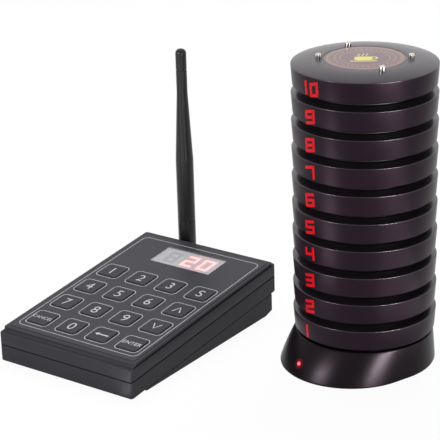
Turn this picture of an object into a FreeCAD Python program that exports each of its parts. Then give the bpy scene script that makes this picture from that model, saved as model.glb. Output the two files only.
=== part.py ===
import FreeCAD, Part

import math
import os

import Sketcher
from FreeCAD import Placement, Rotation, Vector

# Guest pager system: a keypad with a three digit display and a folding
# antenna, and a charging base that carries a stack of ten coaster pagers.
# Origin: axis of the charging base on the counter.  X runs to the right along
# the keypad's width, Y to the rear, Z up.  All lengths are millimetres.

doc = FreeCAD.newDocument("GuestPagerSystem")
sheet = doc.addObject("Spreadsheet::Sheet", "Sizes")


# ---------------------------------------------------------------- dimensions

class Size:
    """A number and the spreadsheet expression that it comes from."""

    def __init__(self, value, text):
        self.value = float(value)
        self.text = text

    def __add__(self, other):
        other = as_size(other)
        return Size(self.value + other.value, f"({self.text} + {other.text})")

    def __sub__(self, other):
        other = as_size(other)
        return Size(self.value - other.value, f"({self.text} - {other.text})")

    def __mul__(self, other):
        other = as_size(other)
        return Size(self.value * other.value, f"({self.text} * {other.text})")

    def __truediv__(self, other):
        other = as_size(other)
        return Size(self.value / other.value, f"({self.text} / {other.text})")

    def __radd__(self, other):
        return as_size(other) + self

    def __rsub__(self, other):
        return as_size(other) - self

    def __rmul__(self, other):
        return as_size(other) * self

    def __neg__(self):
        return Size(-self.value, f"(0 - {self.text})")


def as_size(number):
    if isinstance(number, Size):
        return number
    return Size(number, repr(float(number)))


def sine(angle):
    return Size(math.sin(math.radians(angle.value)), f"sin({angle.text})")


def cosine(angle):
    return Size(math.cos(math.radians(angle.value)), f"cos({angle.text})")


def square_root(size):
    return Size(math.sqrt(size.value), f"sqrt({size.text})")


def dimension(alias, value, meaning):
    """Write one driving dimension into the sheet and return it."""
    row = dimension.row
    dimension.row += 1
    sheet.set(f"A{row}", meaning)
    sheet.set(f"B{row}", str(value))
    sheet.setAlias(f"B{row}", alias)
    return Size(value, f"Sizes.{alias}")


dimension.row = 1

# General clearances
fit_gap = dimension("fit_gap", 0.1, "gap around a part in its opening")
seat_gap = dimension("seat_gap", 0.15, "gap under a part that stands in a seat")
contact_gap = dimension("contact_gap", 0.05, "gap between charging contacts")
foot_thickness = dimension("foot_thickness", 0.6, "rubber foot below a case")

# Pager
pager_count = 10
pager_overhang = dimension("pager_overhang", 1.8, "pager beyond the base's top edge")
rim_height = dimension("rim_height", 13.8, "pager from underside to upper edge")
rim_inset = dimension("rim_inset", 1.0, "how much narrower the rim is below")
rim_chamfer = dimension("rim_chamfer", 0.8, "bevel at the rim's lower edge")
dome_height = dimension("dome_height", 2.6, "rise of the pager's top")
pager_pitch = dimension("pager_pitch", 18.6, "one pager to the next in a stack")
pager_wall = dimension("pager_wall", 2.0, "wall of the pager's shells")
label_radius = dimension("label_radius", 26.8, "recess for the label")
label_thickness = dimension("label_thickness", 0.3, "label film")
label_land = dimension("label_land", 0.6, "flat ring around the label")
ring_wall = dimension("ring_wall", 2.5, "thickness of the foot ring")

# Charging contacts, in a rectangle about the stack's axis
pin_radius = dimension("pin_radius", 2.1, "contact pin")
pin_rounding = dimension("pin_rounding", 1.3, "round of the pin's head")
pin_margin = dimension("pin_margin", 2.75, "contact's axis beyond the label")
pin_bearing = dimension("pin_bearing", 33.7, "contact's direction from the X axis")
pin_turn = dimension("pin_turn", -3.5, "turn of the pagers about their axis")
pad_radius = dimension("pad_radius", 3.0, "contact pad below a pager")
pad_recess = dimension("pad_recess", 0.8, "contact pad above the underside")

# Inside a pager
board_setback = dimension("board_setback", 9.5, "round circuit board inside the rim")
board_thickness = dimension("board_thickness", 1.6, "every circuit board")
battery_length = dimension("battery_length", 36.0, "pager's battery, across")
battery_width = dimension("battery_width", 24.0, "pager's battery, to the rear")
battery_height = dimension("battery_height", 4.4, "pager's battery")
motor_radius = dimension("motor_radius", 5.0, "coin motor that shakes the pager")
motor_height = dimension("motor_height", 3.4, "coin motor")
motor_offset = dimension("motor_offset", 21.0, "coin motor from the axis")
digits_width = dimension("digits_width", 14.0, "lamp block behind the number")
digits_depth = dimension("digits_depth", 4.0, "lamp block, radially")
digits_height = dimension("digits_height", 8.0, "lamp block")
digits_setback = dimension("digits_setback", 1.5, "lamp block's face inside the rim")
digits_turn = dimension("digits_turn", -10.0, "number's place round the rim")

# Charging base: a round body whose front grows into a low nose
stack_base = dimension("stack_base", 24.0, "underside of the lowest pager")
charger_height = dimension("charger_height", 22.5, "top edge of the base")
charger_middle = dimension("charger_middle", 11.0, "height of the middle section")
charger_top_radius = dimension("charger_top_radius", 45.7, "base at its top edge")
charger_middle_radius = dimension("charger_middle_radius", 46.6, "base half way")
charger_bottom_radius = dimension("charger_bottom_radius", 47.3, "base at the foot")
nose_top = dimension("nose_top", 0.6, "nose circle ahead of the axis, top")
nose_middle = dimension("nose_middle", 7.4, "nose circle ahead of the axis, middle")
nose_bottom = dimension("nose_bottom", 11.9, "nose circle ahead of the axis, foot")
charger_turn = dimension("charger_turn", -20.0, "turn of the nose about the axis")
charger_wall = dimension("charger_wall", 2.2, "wall of the base")
cup_land = dimension("cup_land", 4.7, "base's top edge to the cup's wall")
cup_clearance = dimension("cup_clearance", 1.0, "foot ring to the cup's wall")
cup_chamfer = dimension("cup_chamfer", 0.6, "bevel at the cup's mouth")
plate_thickness = dimension("plate_thickness", 2.0, "bottom plate of the base")
plate_clearance = dimension("plate_clearance", 0.3, "bottom plate to the wall")
plate_setback = dimension("plate_setback", 1.2, "bottom plate behind the nose")
boss_height = dimension("boss_height", 1.6, "bosses under the base's board")
boss_radius = dimension("boss_radius", 3.0, "bosses under the boards")
boss_reach = dimension("boss_reach", 28.0, "bosses of the base from the axis")
lamp_radius = dimension("lamp_radius", 1.6, "status lamp")
lamp_height = dimension("lamp_height", 9.0, "status lamp above the counter")
lamp_tilt = dimension("lamp_tilt", 25.0, "status lamp looks up by this angle")
lamp_length = dimension("lamp_length", 5.0, "status lamp's light pipe")
lamp_proud = dimension("lamp_proud", 0.4, "status lamp stands proud")
charger_board_radius = dimension("charger_board_radius", 36.0, "board of the base")
charger_jack_setback = dimension("charger_jack_setback", 0.9, "jack behind the wall")
charger_pad_radius = dimension("charger_pad_radius", 38.0, "rubber pad of the base")

# Power jack, the same on both units
jack_width = dimension("jack_width", 9.0, "jack block")
jack_depth = dimension("jack_depth", 12.0, "jack block along the plug")
jack_nose_radius = dimension("jack_nose_radius", 4.2, "jack's round nose")
jack_bore_radius = dimension("jack_bore_radius", 2.75, "bore for the plug")
jack_bore_depth = dimension("jack_bore_depth", 9.5, "depth of the bore")
jack_pin_radius = dimension("jack_pin_radius", 1.0, "pin in the bore")
jack_pin_setback = dimension("jack_pin_setback", 1.0, "pin's end behind the nose")

# Keypad case, in its own frame: from the middle of its lower front edge,
# X to the right, Y up along the case, Z square to the face
keypad_x = dimension("keypad_x", -146.3, "middle of the keypad's front edge")
keypad_y = dimension("keypad_y", -137.9, "keypad's front edge")
keypad_tilt = dimension("keypad_tilt", 5.3, "slope of the keypad")
case_width = dimension("case_width", 113.2, "keypad across")
case_length = dimension("case_length", 167.9, "keypad front to rear, at its face")
case_height = dimension("case_height", 22.9, "face above the case's underside")
case_corner = dimension("case_corner", 2.4, "upright corners")
hollow_corner = dimension("hollow_corner", 0.8, "upright corners inside")
case_wall = dimension("case_wall", 2.4, "wall of the shells")
face_thickness = dimension("face_thickness", 2.2, "plate that carries the keys")
seam_height = dimension("seam_height", 12.0, "middle of the seam")
seam_gap = dimension("seam_gap", 0.8, "width of the seam")
lip_wall = dimension("lip_wall", 1.2, "lip that closes the seam inside")
lip_height = dimension("lip_height", 2.0, "lip above the lower shell")
shoulder_drop = dimension("shoulder_drop", 2.3, "shoulder below the face")
shoulder_side = dimension("shoulder_side", 0.45, "shoulder at the sides")
shoulder_front = dimension("shoulder_front", 4.4, "shoulder at the front")
shoulder_rear = dimension("shoulder_rear", 3.05, "shoulder at the rear")
cove_radius = dimension("cove_radius", 1.8, "hollow at the foot of the face")
lip_rounding = dimension("lip_rounding", 0.4, "outer edge of the shoulder")
face_rounding = dimension("face_rounding", 0.4, "edge of the face")
face_land = dimension("face_land", 1.8, "solid rim below the face's edge")
case_bevel = dimension("case_bevel", 0.6, "lower edge of the case")
overlay_side = dimension("overlay_side", 3.25, "overlay's edge from the side")
overlay_front = dimension("overlay_front", 7.75, "overlay's edge from the front")
overlay_rear = dimension("overlay_rear", 6.65, "overlay's edge from the rear")
overlay_thickness = dimension("overlay_thickness", 0.5, "printed overlay")
overlay_proud = dimension("overlay_proud", 0.3, "overlay stands proud of the face")
overlay_corner = dimension("overlay_corner", 2.0, "corners of the overlay")

# Keys and display
key_width = dimension("key_width", 16.2, "key cap across")
key_depth = dimension("key_depth", 15.6, "key cap front to rear")
key_corner = dimension("key_corner", 2.2, "corners of a key cap")
key_pitch = dimension("key_pitch", 25.65, "key to key")
key_row = dimension("key_row", 25.2, "front row of keys from the front")
key_proud = dimension("key_proud", 0.6, "key cap above the face")
key_travel = dimension("key_travel", 0.8, "travel of a key")
key_gap = dimension("key_gap", 0.3, "key cap to its opening")
flange_width = dimension("flange_width", 1.2, "flange around a key below the face")
flange_thickness = dimension("flange_thickness", 1.6, "flange of a key")
switch_width = dimension("switch_width", 6.0, "switch below a key")
switch_body = dimension("switch_body", 2.6, "height of the switch's body")
plunger_radius = dimension("plunger_radius", 1.75, "switch's plunger")
window_width = dimension("window_width", 52.0, "display window across")
window_depth = dimension("window_depth", 23.6, "display window front to rear")
window_inset = dimension("window_inset", 15.9, "window from the keypad's rear")
lens_thickness = dimension("lens_thickness", 2.0, "window's lens")
display_width = dimension("display_width", 50.2, "three digit display")
display_depth = dimension("display_depth", 19.0, "three digit display")

# Inside the keypad
board_level = dimension("board_level", 12.6, "underside of the keypad's board")
board_width = dimension("board_width", 100.0, "keypad's board across")
board_front = dimension("board_front", 14.4, "keypad's board from the front")
board_rear = dimension("board_rear", 17.0, "keypad's board from the rear")
radio_width = dimension("radio_width", 16.0, "radio can under the board")
radio_depth = dimension("radio_depth", 26.0, "radio can under the board")
radio_height = dimension("radio_height", 3.2, "radio can under the board")
post_reach = dimension("post_reach", 40.0, "board posts from the middle")
post_front = dimension("post_front", 37.8, "front board posts from the front")
post_rear = dimension("post_rear", 28.5, "rear board posts from the rear")
screw_inset = dimension("screw_inset", 9.0, "case screws from the case's edges")
screw_radius = dimension("screw_radius", 1.2, "case screw")
screw_head = dimension("screw_head", 2.6, "head of a case screw")
screw_head_height = dimension("screw_head_height", 1.8, "head of a case screw")
screw_length = dimension("screw_length", 15.0, "case screw below its head")
screw_sink = dimension("screw_sink", 0.4, "screw head above the case's underside")
screw_post = dimension("screw_post", 3.5, "post around a case screw")
jack_offset = dimension("jack_offset", 30.0, "keypad's jack from the middle")

# Stand below the keypad
stand_front = dimension("stand_front", 13.4, "stand's front end from the front")
stand_side = dimension("stand_side", 0.2, "stand inside the case's sides")
stand_rear = dimension("stand_rear", 5.0, "stand inside the case's rear wall")
stand_run = dimension("stand_run", 8.0, "slope at the stand's lower rear, along")
stand_rise = dimension("stand_rise", 2.4, "slope at the stand's lower rear, up")
stand_wall = dimension("stand_wall", 2.2, "wall of the stand")
stand_hollow = dimension("stand_hollow", 60.4, "hollow of the stand from the front")
keypad_foot_radius = dimension("keypad_foot_radius", 6.0, "rubber feet")
keypad_foot_inset = dimension("keypad_foot_inset", 12.0, "rubber feet from the side")
front_foot_inset = dimension("front_foot_inset", 24.4, "front feet from the front")
rear_foot_inset = dimension("rear_foot_inset", 25.5, "rear feet from the rear")

# Antenna
antenna_offset = dimension("antenna_offset", -29.9, "antenna from the middle")
socket_level = dimension("socket_level", 7.2, "socket above the case's underside")
socket_radius = dimension("socket_radius", 3.2, "threaded socket")
socket_flange_radius = dimension("socket_flange_radius", 3.9, "flange inside the wall")
socket_flange = dimension("socket_flange", 1.5, "flange inside the wall")
nut_radius = dimension("nut_radius", 4.6, "nut outside the wall, over corners")
nut_thickness = dimension("nut_thickness", 1.6, "nut outside the wall")
socket_reach = dimension("socket_reach", 4.6, "socket beyond the wall")
collar_radius = dimension("collar_radius", 5.0, "swivel collar")
collar_start = dimension("collar_start", 1.9, "collar from the wall")
collar_length = dimension("collar_length", 4.4, "swivel collar")
hinge_reach = dimension("hinge_reach", 12.0, "hinge pin from the wall")
ear_radius = dimension("ear_radius", 4.6, "ears of the fork")
ear_thickness = dimension("ear_thickness", 2.2, "each ear of the fork")
arm_height = dimension("arm_height", 6.9, "arms from the collar to the ears")
arm_root = dimension("arm_root", 1.1, "how far the arms run into the collar")
collar_play = dimension("collar_play", 0.3, "socket's end to the floor of the collar")
tang_thickness = dimension("tang_thickness", 5.0, "tang of the antenna")
tang_gap = dimension("tang_gap", 0.1, "tang to an ear")
hinge_radius = dimension("hinge_radius", 1.25, "hinge pin")
hinge_fit = dimension("hinge_fit", 0.05, "tang around the hinge pin")
barrel_start = dimension("barrel_start", 5.2, "antenna's barrel above the pin")
barrel_joint = dimension("barrel_joint", 25.7, "ring groove above the pin")
barrel_radius = dimension("barrel_radius", 6.4, "antenna's barrel")
taper_start = dimension("taper_start", 72.2, "start of the taper above the pin")
tip_length = dimension("tip_length", 32.2, "straight end of the antenna")
tip_cap = dimension("tip_cap", 15.5, "ring groove below the tip")
tip_radius = dimension("tip_radius", 3.9, "antenna at its tip")
antenna_height = dimension("antenna_height", 155.4, "antenna's tip above the pin")
tip_rounding = dimension("tip_rounding", 3.2, "round of the tip")
groove_width = dimension("groove_width", 0.8, "grooves of the antenna")
groove_depth = dimension("groove_depth", 0.4, "grooves of the antenna")

doc.recompute()

# ---------------------------------------------------- sketches and features

ZERO = as_size(0)
nodes = []


def bind(feature, path, size):
    """Tie one property of a feature to the sheet."""
    feature.setExpression(path, as_size(size).text)


def node(feature, name):
    """Keep a finished sub-part under its own name."""
    feature.Label = name
    nodes.append(feature)
    return feature


def new_body(name):
    return doc.addObject("PartDesign::Body", name)


def origin_plane(body, role):
    for feature in body.Origin.OriginFeatures:
        if feature.Role == role:
            return feature
    raise ValueError(role)


def new_sketch(body, name, role="XY_Plane", lift=ZERO):
    """Sketch on one of the body's own origin planes, lifted along its normal."""
    sketch = body.newObject("Sketcher::SketchObject", name)
    sketch.AttachmentSupport = [(origin_plane(body, role), "")]
    sketch.MapMode = "FlatFace"
    lift = as_size(lift)
    sketch.AttachmentOffset = Placement(Vector(0, 0, lift.value), Rotation())
    bind(sketch, "AttachmentOffset.Base.z", lift)
    return sketch


def fix(sketch, kind, *reference, size):
    """Add a dimension to a sketch and tie it to the sheet."""
    index = sketch.addConstraint(Sketcher.Constraint(kind, *reference, size.value))
    sketch.setExpression(f"Constraints[{index}]", size.text)


def fix_point(sketch, curve, end, x, y):
    """Hold a curve's end or centre at (x, y) from the sketch's origin."""
    for kind, axis, size in (("DistanceX", -2, as_size(x)), ("DistanceY", -1, as_size(y))):
        if size.value == 0.0:
            sketch.addConstraint(Sketcher.Constraint("PointOnObject", curve, end, axis))
        else:
            fix(sketch, kind, -1, 1, curve, end, size=size)


def vector(x, y):
    return Vector(as_size(x).value, as_size(y).value, 0)


def polygon(sketch, points, arcs=None):
    """Closed outline through points.

    arcs gives, for the edge that leaves a point, the X of that arc's centre
    and whether it turns to the left.
    """
    arcs = arcs or {}
    curves = []
    for index, start in enumerate(points):
        end = points[(index + 1) % len(points)]
        a, b = vector(*start), vector(*end)
        if index in arcs:
            centre_x, leftward = arcs[index]
            curves.append(add_arc(sketch, a, b, centre_x, leftward))
        else:
            curves.append((sketch.addGeometry(Part.LineSegment(a, b), False), 1, 2))
    for index, (curve, first, last) in enumerate(curves):
        following, begin, _ = curves[(index + 1) % len(curves)]
        sketch.addConstraint(Sketcher.Constraint("Coincident", curve, last, following, begin))
        fix_point(sketch, curve, first, *points[index])
    return curves


def add_arc(sketch, a, b, centre_x, leftward):
    """Arc from a to b about a centre at centre_x; returns the curve and its ends."""
    x = centre_x.value
    middle = (a + b) * 0.5
    chord = b - a
    y = middle.y - (x - middle.x) * chord.x / chord.y
    centre = Vector(x, y, 0)
    radius = (a - centre).Length
    first, last = (a, b) if leftward else (b, a)
    start_angle = math.atan2(first.y - y, first.x - x)
    end_angle = math.atan2(last.y - y, last.x - x)
    circle_curve = Part.Circle(centre, Vector(0, 0, 1), radius)
    arc = Part.ArcOfCircle(circle_curve, start_angle, end_angle)
    curve = sketch.addGeometry(arc, False)
    if centre_x.value == 0.0:
        sketch.addConstraint(Sketcher.Constraint("PointOnObject", curve, 3, -2))
    else:
        fix(sketch, "DistanceX", -1, 1, curve, 3, size=centre_x)
    return (curve, 1, 2) if leftward else (curve, 2, 1)


def circle(sketch, x, y, radius):
    centre = vector(x, y)
    radius = as_size(radius)
    curve = sketch.addGeometry(Part.Circle(centre, Vector(0, 0, 1), radius.value), False)
    fix(sketch, "Radius", curve, size=radius)
    fix_point(sketch, curve, 3, x, y)


def rectangle(sketch, left, right, front, rear):
    polygon(sketch, [(left, front), (right, front), (right, rear), (left, rear)])


def rounded_rectangle(sketch, left, right, front, rear, radius):
    """Rectangle with four equal round corners."""
    left, right, front, rear = map(as_size, (left, right, front, rear))
    r = radius.value
    x0, x1, y0, y1 = left.value, right.value, front.value, rear.value
    lines = [
        Part.LineSegment(Vector(x0 + r, y0, 0), Vector(x1 - r, y0, 0)),
        Part.LineSegment(Vector(x1, y0 + r, 0), Vector(x1, y1 - r, 0)),
        Part.LineSegment(Vector(x1 - r, y1, 0), Vector(x0 + r, y1, 0)),
        Part.LineSegment(Vector(x0, y1 - r, 0), Vector(x0, y0 + r, 0)),
    ]
    centres = [(x1 - r, y0 + r), (x1 - r, y1 - r), (x0 + r, y1 - r), (x0 + r, y0 + r)]
    sides = [sketch.addGeometry(line, False) for line in lines]
    corners = []
    for index, (x, y) in enumerate(centres):
        start = (index - 1) * math.pi / 2
        curve = Part.Circle(Vector(x, y, 0), Vector(0, 0, 1), r)
        corners.append(sketch.addGeometry(Part.ArcOfCircle(curve, start, start + math.pi / 2), False))
    for index in range(4):
        following = sides[(index + 1) % 4]
        sketch.addConstraint(Sketcher.Constraint("Tangent", sides[index], 2, corners[index], 1))
        sketch.addConstraint(Sketcher.Constraint("Tangent", corners[index], 2, following, 1))
        direction = "Horizontal" if index % 2 == 0 else "Vertical"
        sketch.addConstraint(Sketcher.Constraint(direction, sides[index]))
    for corner in corners[1:]:
        sketch.addConstraint(Sketcher.Constraint("Equal", corners[0], corner))
    fix(sketch, "Radius", corners[0], size=radius)
    for kind, side, size, axis in (
        ("DistanceY", 0, front, -1),
        ("DistanceX", 1, right, -2),
        ("DistanceY", 2, rear, -1),
        ("DistanceX", 3, left, -2),
    ):
        if size.value == 0.0:
            sketch.addConstraint(Sketcher.Constraint("PointOnObject", sides[side], 1, axis))
        else:
            fix(sketch, kind, -1, 1, sides[side], 1, size=size)


def egg(sketch, radius, reach):
    """Two equal circles, one about the origin and one reach ahead of it, with
    straight flanks between them."""
    r, c = radius.value, reach.value
    about = Vector(0, 0, 1)
    rear = Part.ArcOfCircle(Part.Circle(Vector(0, 0, 0), about, r), 0, math.pi)
    front = Part.ArcOfCircle(Part.Circle(Vector(0, -c, 0), about, r), math.pi, 2 * math.pi)
    rear_arc = sketch.addGeometry(rear, False)
    left = sketch.addGeometry(Part.LineSegment(Vector(-r, 0, 0), Vector(-r, -c, 0)), False)
    front_arc = sketch.addGeometry(front, False)
    right = sketch.addGeometry(Part.LineSegment(Vector(r, -c, 0), Vector(r, 0, 0)), False)
    loop = [rear_arc, left, front_arc, right]
    for index, curve in enumerate(loop):
        following = loop[(index + 1) % 4]
        sketch.addConstraint(Sketcher.Constraint("Tangent", curve, 2, following, 1))
    sketch.addConstraint(Sketcher.Constraint("Coincident", rear_arc, 3, -1, 1))
    sketch.addConstraint(Sketcher.Constraint("Vertical", left))
    fix(sketch, "Radius", rear_arc, size=radius)
    sketch.addConstraint(Sketcher.Constraint("PointOnObject", front_arc, 3, -2))
    fix(sketch, "DistanceY", front_arc, 3, -1, 1, size=reach)


def pad(body, sketch, length, name):
    feature = body.newObject("PartDesign::Pad", name)
    feature.Profile = (sketch, [""])
    bind(feature, "Length", length)
    return feature


def pocket(body, sketch, depth, name, upward=False):
    """Cut a sketch into the body, downward unless told otherwise."""
    feature = body.newObject("PartDesign::Pocket", name)
    feature.Profile = (sketch, [""])
    bind(feature, "Length", depth)
    feature.Reversed = upward
    return feature


def along_plumb(feature, lean, downward=False):
    """Let an extrusion lean along Y, by lean for each unit of height."""
    feature.UseCustomVector = True
    feature.Direction = Vector(0, lean.value, 1)
    bind(feature, "Direction.y", lean)
    feature.Reversed = downward
    return feature


def revolve(body, sketch, name):
    """Turn a sketch about its own vertical axis."""
    feature = body.newObject("PartDesign::Revolution", name)
    feature.Profile = (sketch, [""])
    feature.ReferenceAxis = (sketch, ["V_Axis"])
    feature.Angle = 360
    return feature


def loft(body, kind, sections, name):
    feature = body.newObject(f"PartDesign::{kind}Loft", name)
    feature.Profile = (sections[0], [""])
    feature.Sections = [(section, [""]) for section in sections[1:]]
    feature.Ruled = False
    return feature


def edges_where(feature, wanted):
    """Names of the edges whose middle point passes a test."""
    doc.recompute()
    names = []
    for index, edge in enumerate(feature.Shape.Edges, start=1):
        box = edge.BoundBox
        if wanted(box):
            names.append(f"Edge{index}")
    return names


def dress(body, kind, base, edge_names, size, name):
    """Fillet or Chamfer on named edges of the body's last feature."""
    feature = body.newObject(f"PartDesign::{kind}", name)
    feature.Base = (base, edge_names)
    bind(feature, "Radius" if kind == "Fillet" else "Size", size)
    return feature


def place(feature, x, y, z, axis=None, angle=ZERO):
    """Bound placement: a point and, with an axis, a turn about it."""
    x, y, z, angle = map(as_size, (x, y, z, angle))
    turn = Rotation(axis, angle.value) if axis else Rotation()
    feature.Placement = Placement(Vector(x.value, y.value, z.value), turn)
    for path, size in (("x", x), ("y", y), ("z", z)):
        bind(feature, f"Placement.Base.{path}", size)
    if axis:
        bind(feature, "Placement.Rotation.Angle", angle)
    return feature


def block(name, left, right, front, rear, bottom, top):
    """Plain box between six planes."""
    left, right, front, rear, bottom, top = map(as_size, (left, right, front, rear, bottom, top))
    feature = doc.addObject("Part::Box", name)
    bind(feature, "Length", right - left)
    bind(feature, "Width", rear - front)
    bind(feature, "Height", top - bottom)
    return place(feature, left, front, bottom)


def disc(name, radius, x, y, bottom, top, axis=None, angle=ZERO):
    """Cylinder of a radius, from bottom to top, or along a turned axis."""
    feature = doc.addObject("Part::Cylinder", name)
    bottom, top = map(as_size, (bottom, top))
    bind(feature, "Radius", radius)
    bind(feature, "Height", top - bottom)
    return place(feature, x, y, bottom, axis, angle)


def rod(name, radius, x, start, end, z):
    """Cylinder along Y, between two planes."""
    start, end = map(as_size, (start, end))
    feature = doc.addObject("Part::Cylinder", name)
    bind(feature, "Radius", radius)
    bind(feature, "Height", end - start)
    return place(feature, x, start, z, Vector(1, 0, 0), as_size(-90))


def cut(name, base, tool):
    feature = doc.addObject("Part::Cut", name)
    feature.Base = base
    feature.Tool = tool
    return feature


def fuse(name, pieces):
    feature = doc.addObject("Part::MultiFuse", name)
    feature.Shapes = pieces
    return feature


def group(name, pieces):
    """Separate solids kept together as one sub-part."""
    feature = doc.addObject("Part::Compound", name)
    feature.Links = pieces
    return feature


def rounded_pin(name, radius, rounding, x, y, bottom, top):
    """Upright pin whose upper edge is rounded."""
    shaft = disc(f"{name}_shaft", radius, x, y, bottom, top)
    doc.recompute()
    level = as_size(top).value
    pin = doc.addObject("Part::Fillet", name)
    pin.Base = shaft
    pin.Edges = [
        (index, rounding.value, rounding.value)
        for index, edge in enumerate(shaft.Shape.Edges, start=1)
        if abs(edge.BoundBox.ZMin - level) < 1e-6
    ]
    return pin


Z_AXIS = Vector(0, 0, 1)
X_AXIS = Vector(1, 0, 0)

# ------------------------------------------------------------------- pagers
# Every pager is the same, so its pieces are drawn once, about its own axis
# with its underside at zero, and each pager in the stack is a placed copy.

pager_radius = charger_top_radius + pager_overhang
underside_radius = pager_radius - rim_inset
shell_inside = underside_radius - pager_wall
board_radius = shell_inside - board_setback
digits_reach = shell_inside - digits_setback
crown = rim_height + dome_height
ceiling = crown - label_thickness - pager_wall
dome_land = label_radius + label_land
pin_reach = label_radius + pin_margin
CONTACTS = [
    (side * pin_reach * cosine(pin_bearing), end * pin_reach * sine(pin_bearing))
    for side in (-1, 1)
    for end in (-1, 1)
]
dome_run = pager_radius - dome_land
dome_curve = (dome_run * dome_run + dome_height * dome_height) / (2 * dome_height)
cup_radius = charger_top_radius - cup_land
ring_radius = cup_radius - cup_clearance
ring_inside = ring_radius - ring_wall
ring_run = ring_inside - dome_land
ring_sink = dome_curve - square_root(dome_curve * dome_curve - ring_run * ring_run)
ring_height = pager_pitch - crown + ring_sink - seat_gap
pager_board_base = pager_wall + battery_height + fit_gap
pager_board_top = pager_board_base + board_thickness


def pager_top_shell():
    """Domed cap with a slightly drafted rim, turned about its axis."""
    body = new_body("pager_cap")
    profile = new_sketch(body, "pager_cap_profile", "XZ_Plane")
    bevel_radius = underside_radius + rim_inset * rim_chamfer / rim_height
    polygon(
        profile,
        [
            (shell_inside, 0),
            (underside_radius - rim_chamfer, 0),
            (bevel_radius, rim_chamfer),
            (pager_radius, rim_height),
            (dome_land, crown),
            (label_radius, crown),
            (label_radius, crown - label_thickness),
            (0, crown - label_thickness),
            (0, ceiling),
            (dome_land, ceiling),
            (shell_inside, rim_height - pager_wall),
        ],
        arcs={3: (dome_land, True)},
    )
    revolve(body, profile, "pager_cap_turned")
    holes = new_sketch(body, "pager_cap_holes", lift=crown)
    for x, y in CONTACTS:
        circle(holes, x, y, pin_radius + fit_gap)
    pocket(body, holes, rim_height, "pager_cap_pin_holes")
    return body


def pager_bottom_shell():
    """Flat plate with a foot ring that nests on the dome below."""
    body = new_body("pager_base")
    profile = new_sketch(body, "pager_base_profile", "XZ_Plane")
    polygon(
        profile,
        [
            (0, 0),
            (ring_inside, 0),
            (ring_inside, -ring_height),
            (ring_radius, -ring_height),
            (ring_radius, 0),
            (shell_inside - fit_gap, 0),
            (shell_inside - fit_gap, pager_wall),
            (0, pager_wall),
        ],
    )
    revolve(body, profile, "pager_base_turned")
    holes = new_sketch(body, "pager_base_holes", lift=pager_wall)
    for x, y in CONTACTS:
        circle(holes, x, y, pad_radius + fit_gap)
    pocket(body, holes, pager_wall, "pager_base_pad_holes")
    return body


def pager_works():
    """Board on its four contacts, battery, coin motor and lamp block."""
    board = disc("pager_board", board_radius, 0, 0, pager_board_base, pager_board_top)
    battery = block(
        "pager_battery",
        battery_length / -2,
        battery_length / 2,
        battery_width / -2,
        battery_width / 2,
        pager_wall,
        pager_wall + battery_height,
    )
    motor = disc(
        "pager_motor", motor_radius, 0, motor_offset, pager_wall, pager_wall + motor_height
    )
    lamps = block(
        "pager_lamps",
        digits_width / -2,
        digits_width / 2,
        -digits_reach,
        digits_depth - digits_reach,
        pager_wall,
        pager_wall + digits_height,
    )
    lamps = place(group("pager_lamps_turned", [lamps]), 0, 0, 0, Z_AXIS, digits_turn)
    pieces = [board, battery, motor, lamps]
    for index, (x, y) in enumerate(CONTACTS, start=1):
        pieces.append(disc(f"pager_pad_{index}", pad_radius, x, y, pad_recess, pager_board_base))
        tip = pager_pitch + pad_recess - contact_gap
        pieces.append(
            rounded_pin(f"pager_pin_{index}", pin_radius, pin_rounding, x, y, pager_board_top, tip)
        )
    return pieces


pager_cap = pager_top_shell()
pager_base = pager_bottom_shell()
pager_label = disc(
    "pager_label", label_radius - fit_gap, 0, 0, crown - label_thickness, crown
)
pager_inside = pager_works()


def stacked(name, pieces, level):
    """A copy of a pager's pieces at one level of the stack."""
    return node(place(group(name, pieces), 0, 0, level, Z_AXIS, pin_turn), name)


for number in range(1, pager_count + 1):
    level = stack_base + (number - 1) * pager_pitch
    name = f"pager_{number:02d}"
    if number < pager_count:
        stacked(f"{name}_case", [pager_cap, pager_base, pager_label], level)
    else:
        stacked(f"{name}_top_shell", [pager_cap], level)
        stacked(f"{name}_bottom_shell", [pager_base], level)
        stacked(f"{name}_label", [pager_label], level)
    stacked(f"{name}_works", pager_inside, level)

# ------------------------------------------------------------ charging base

cup_floor = stack_base - ring_height - seat_gap
plate_top = foot_thickness + plate_thickness
charger_board_base = plate_top + boss_height
charger_board_top = charger_board_base + board_thickness


def power_jack(name, x, front, nose_end, bottom):
    """Square block with a round nose and a bore that faces the rear."""
    level = bottom + jack_width / 2
    shell = block(
        f"{name}_block",
        x - jack_width / 2,
        x + jack_width / 2,
        front - jack_depth,
        front,
        bottom,
        bottom + jack_width,
    )
    nose = rod(f"{name}_nose", jack_nose_radius, x, front - jack_depth / 2, nose_end, level)
    bore = rod(f"{name}_bore", jack_bore_radius, x, nose_end - jack_bore_depth, nose_end, level)
    pin = rod(
        f"{name}_pin",
        jack_pin_radius,
        x,
        nose_end - jack_bore_depth,
        nose_end - jack_pin_setback,
        level,
    )
    hollow = cut(f"{name}_hollow", fuse(f"{name}_shell", [shell, nose]), bore)
    return fuse(f"{name}_whole", [hollow, pin])


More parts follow.
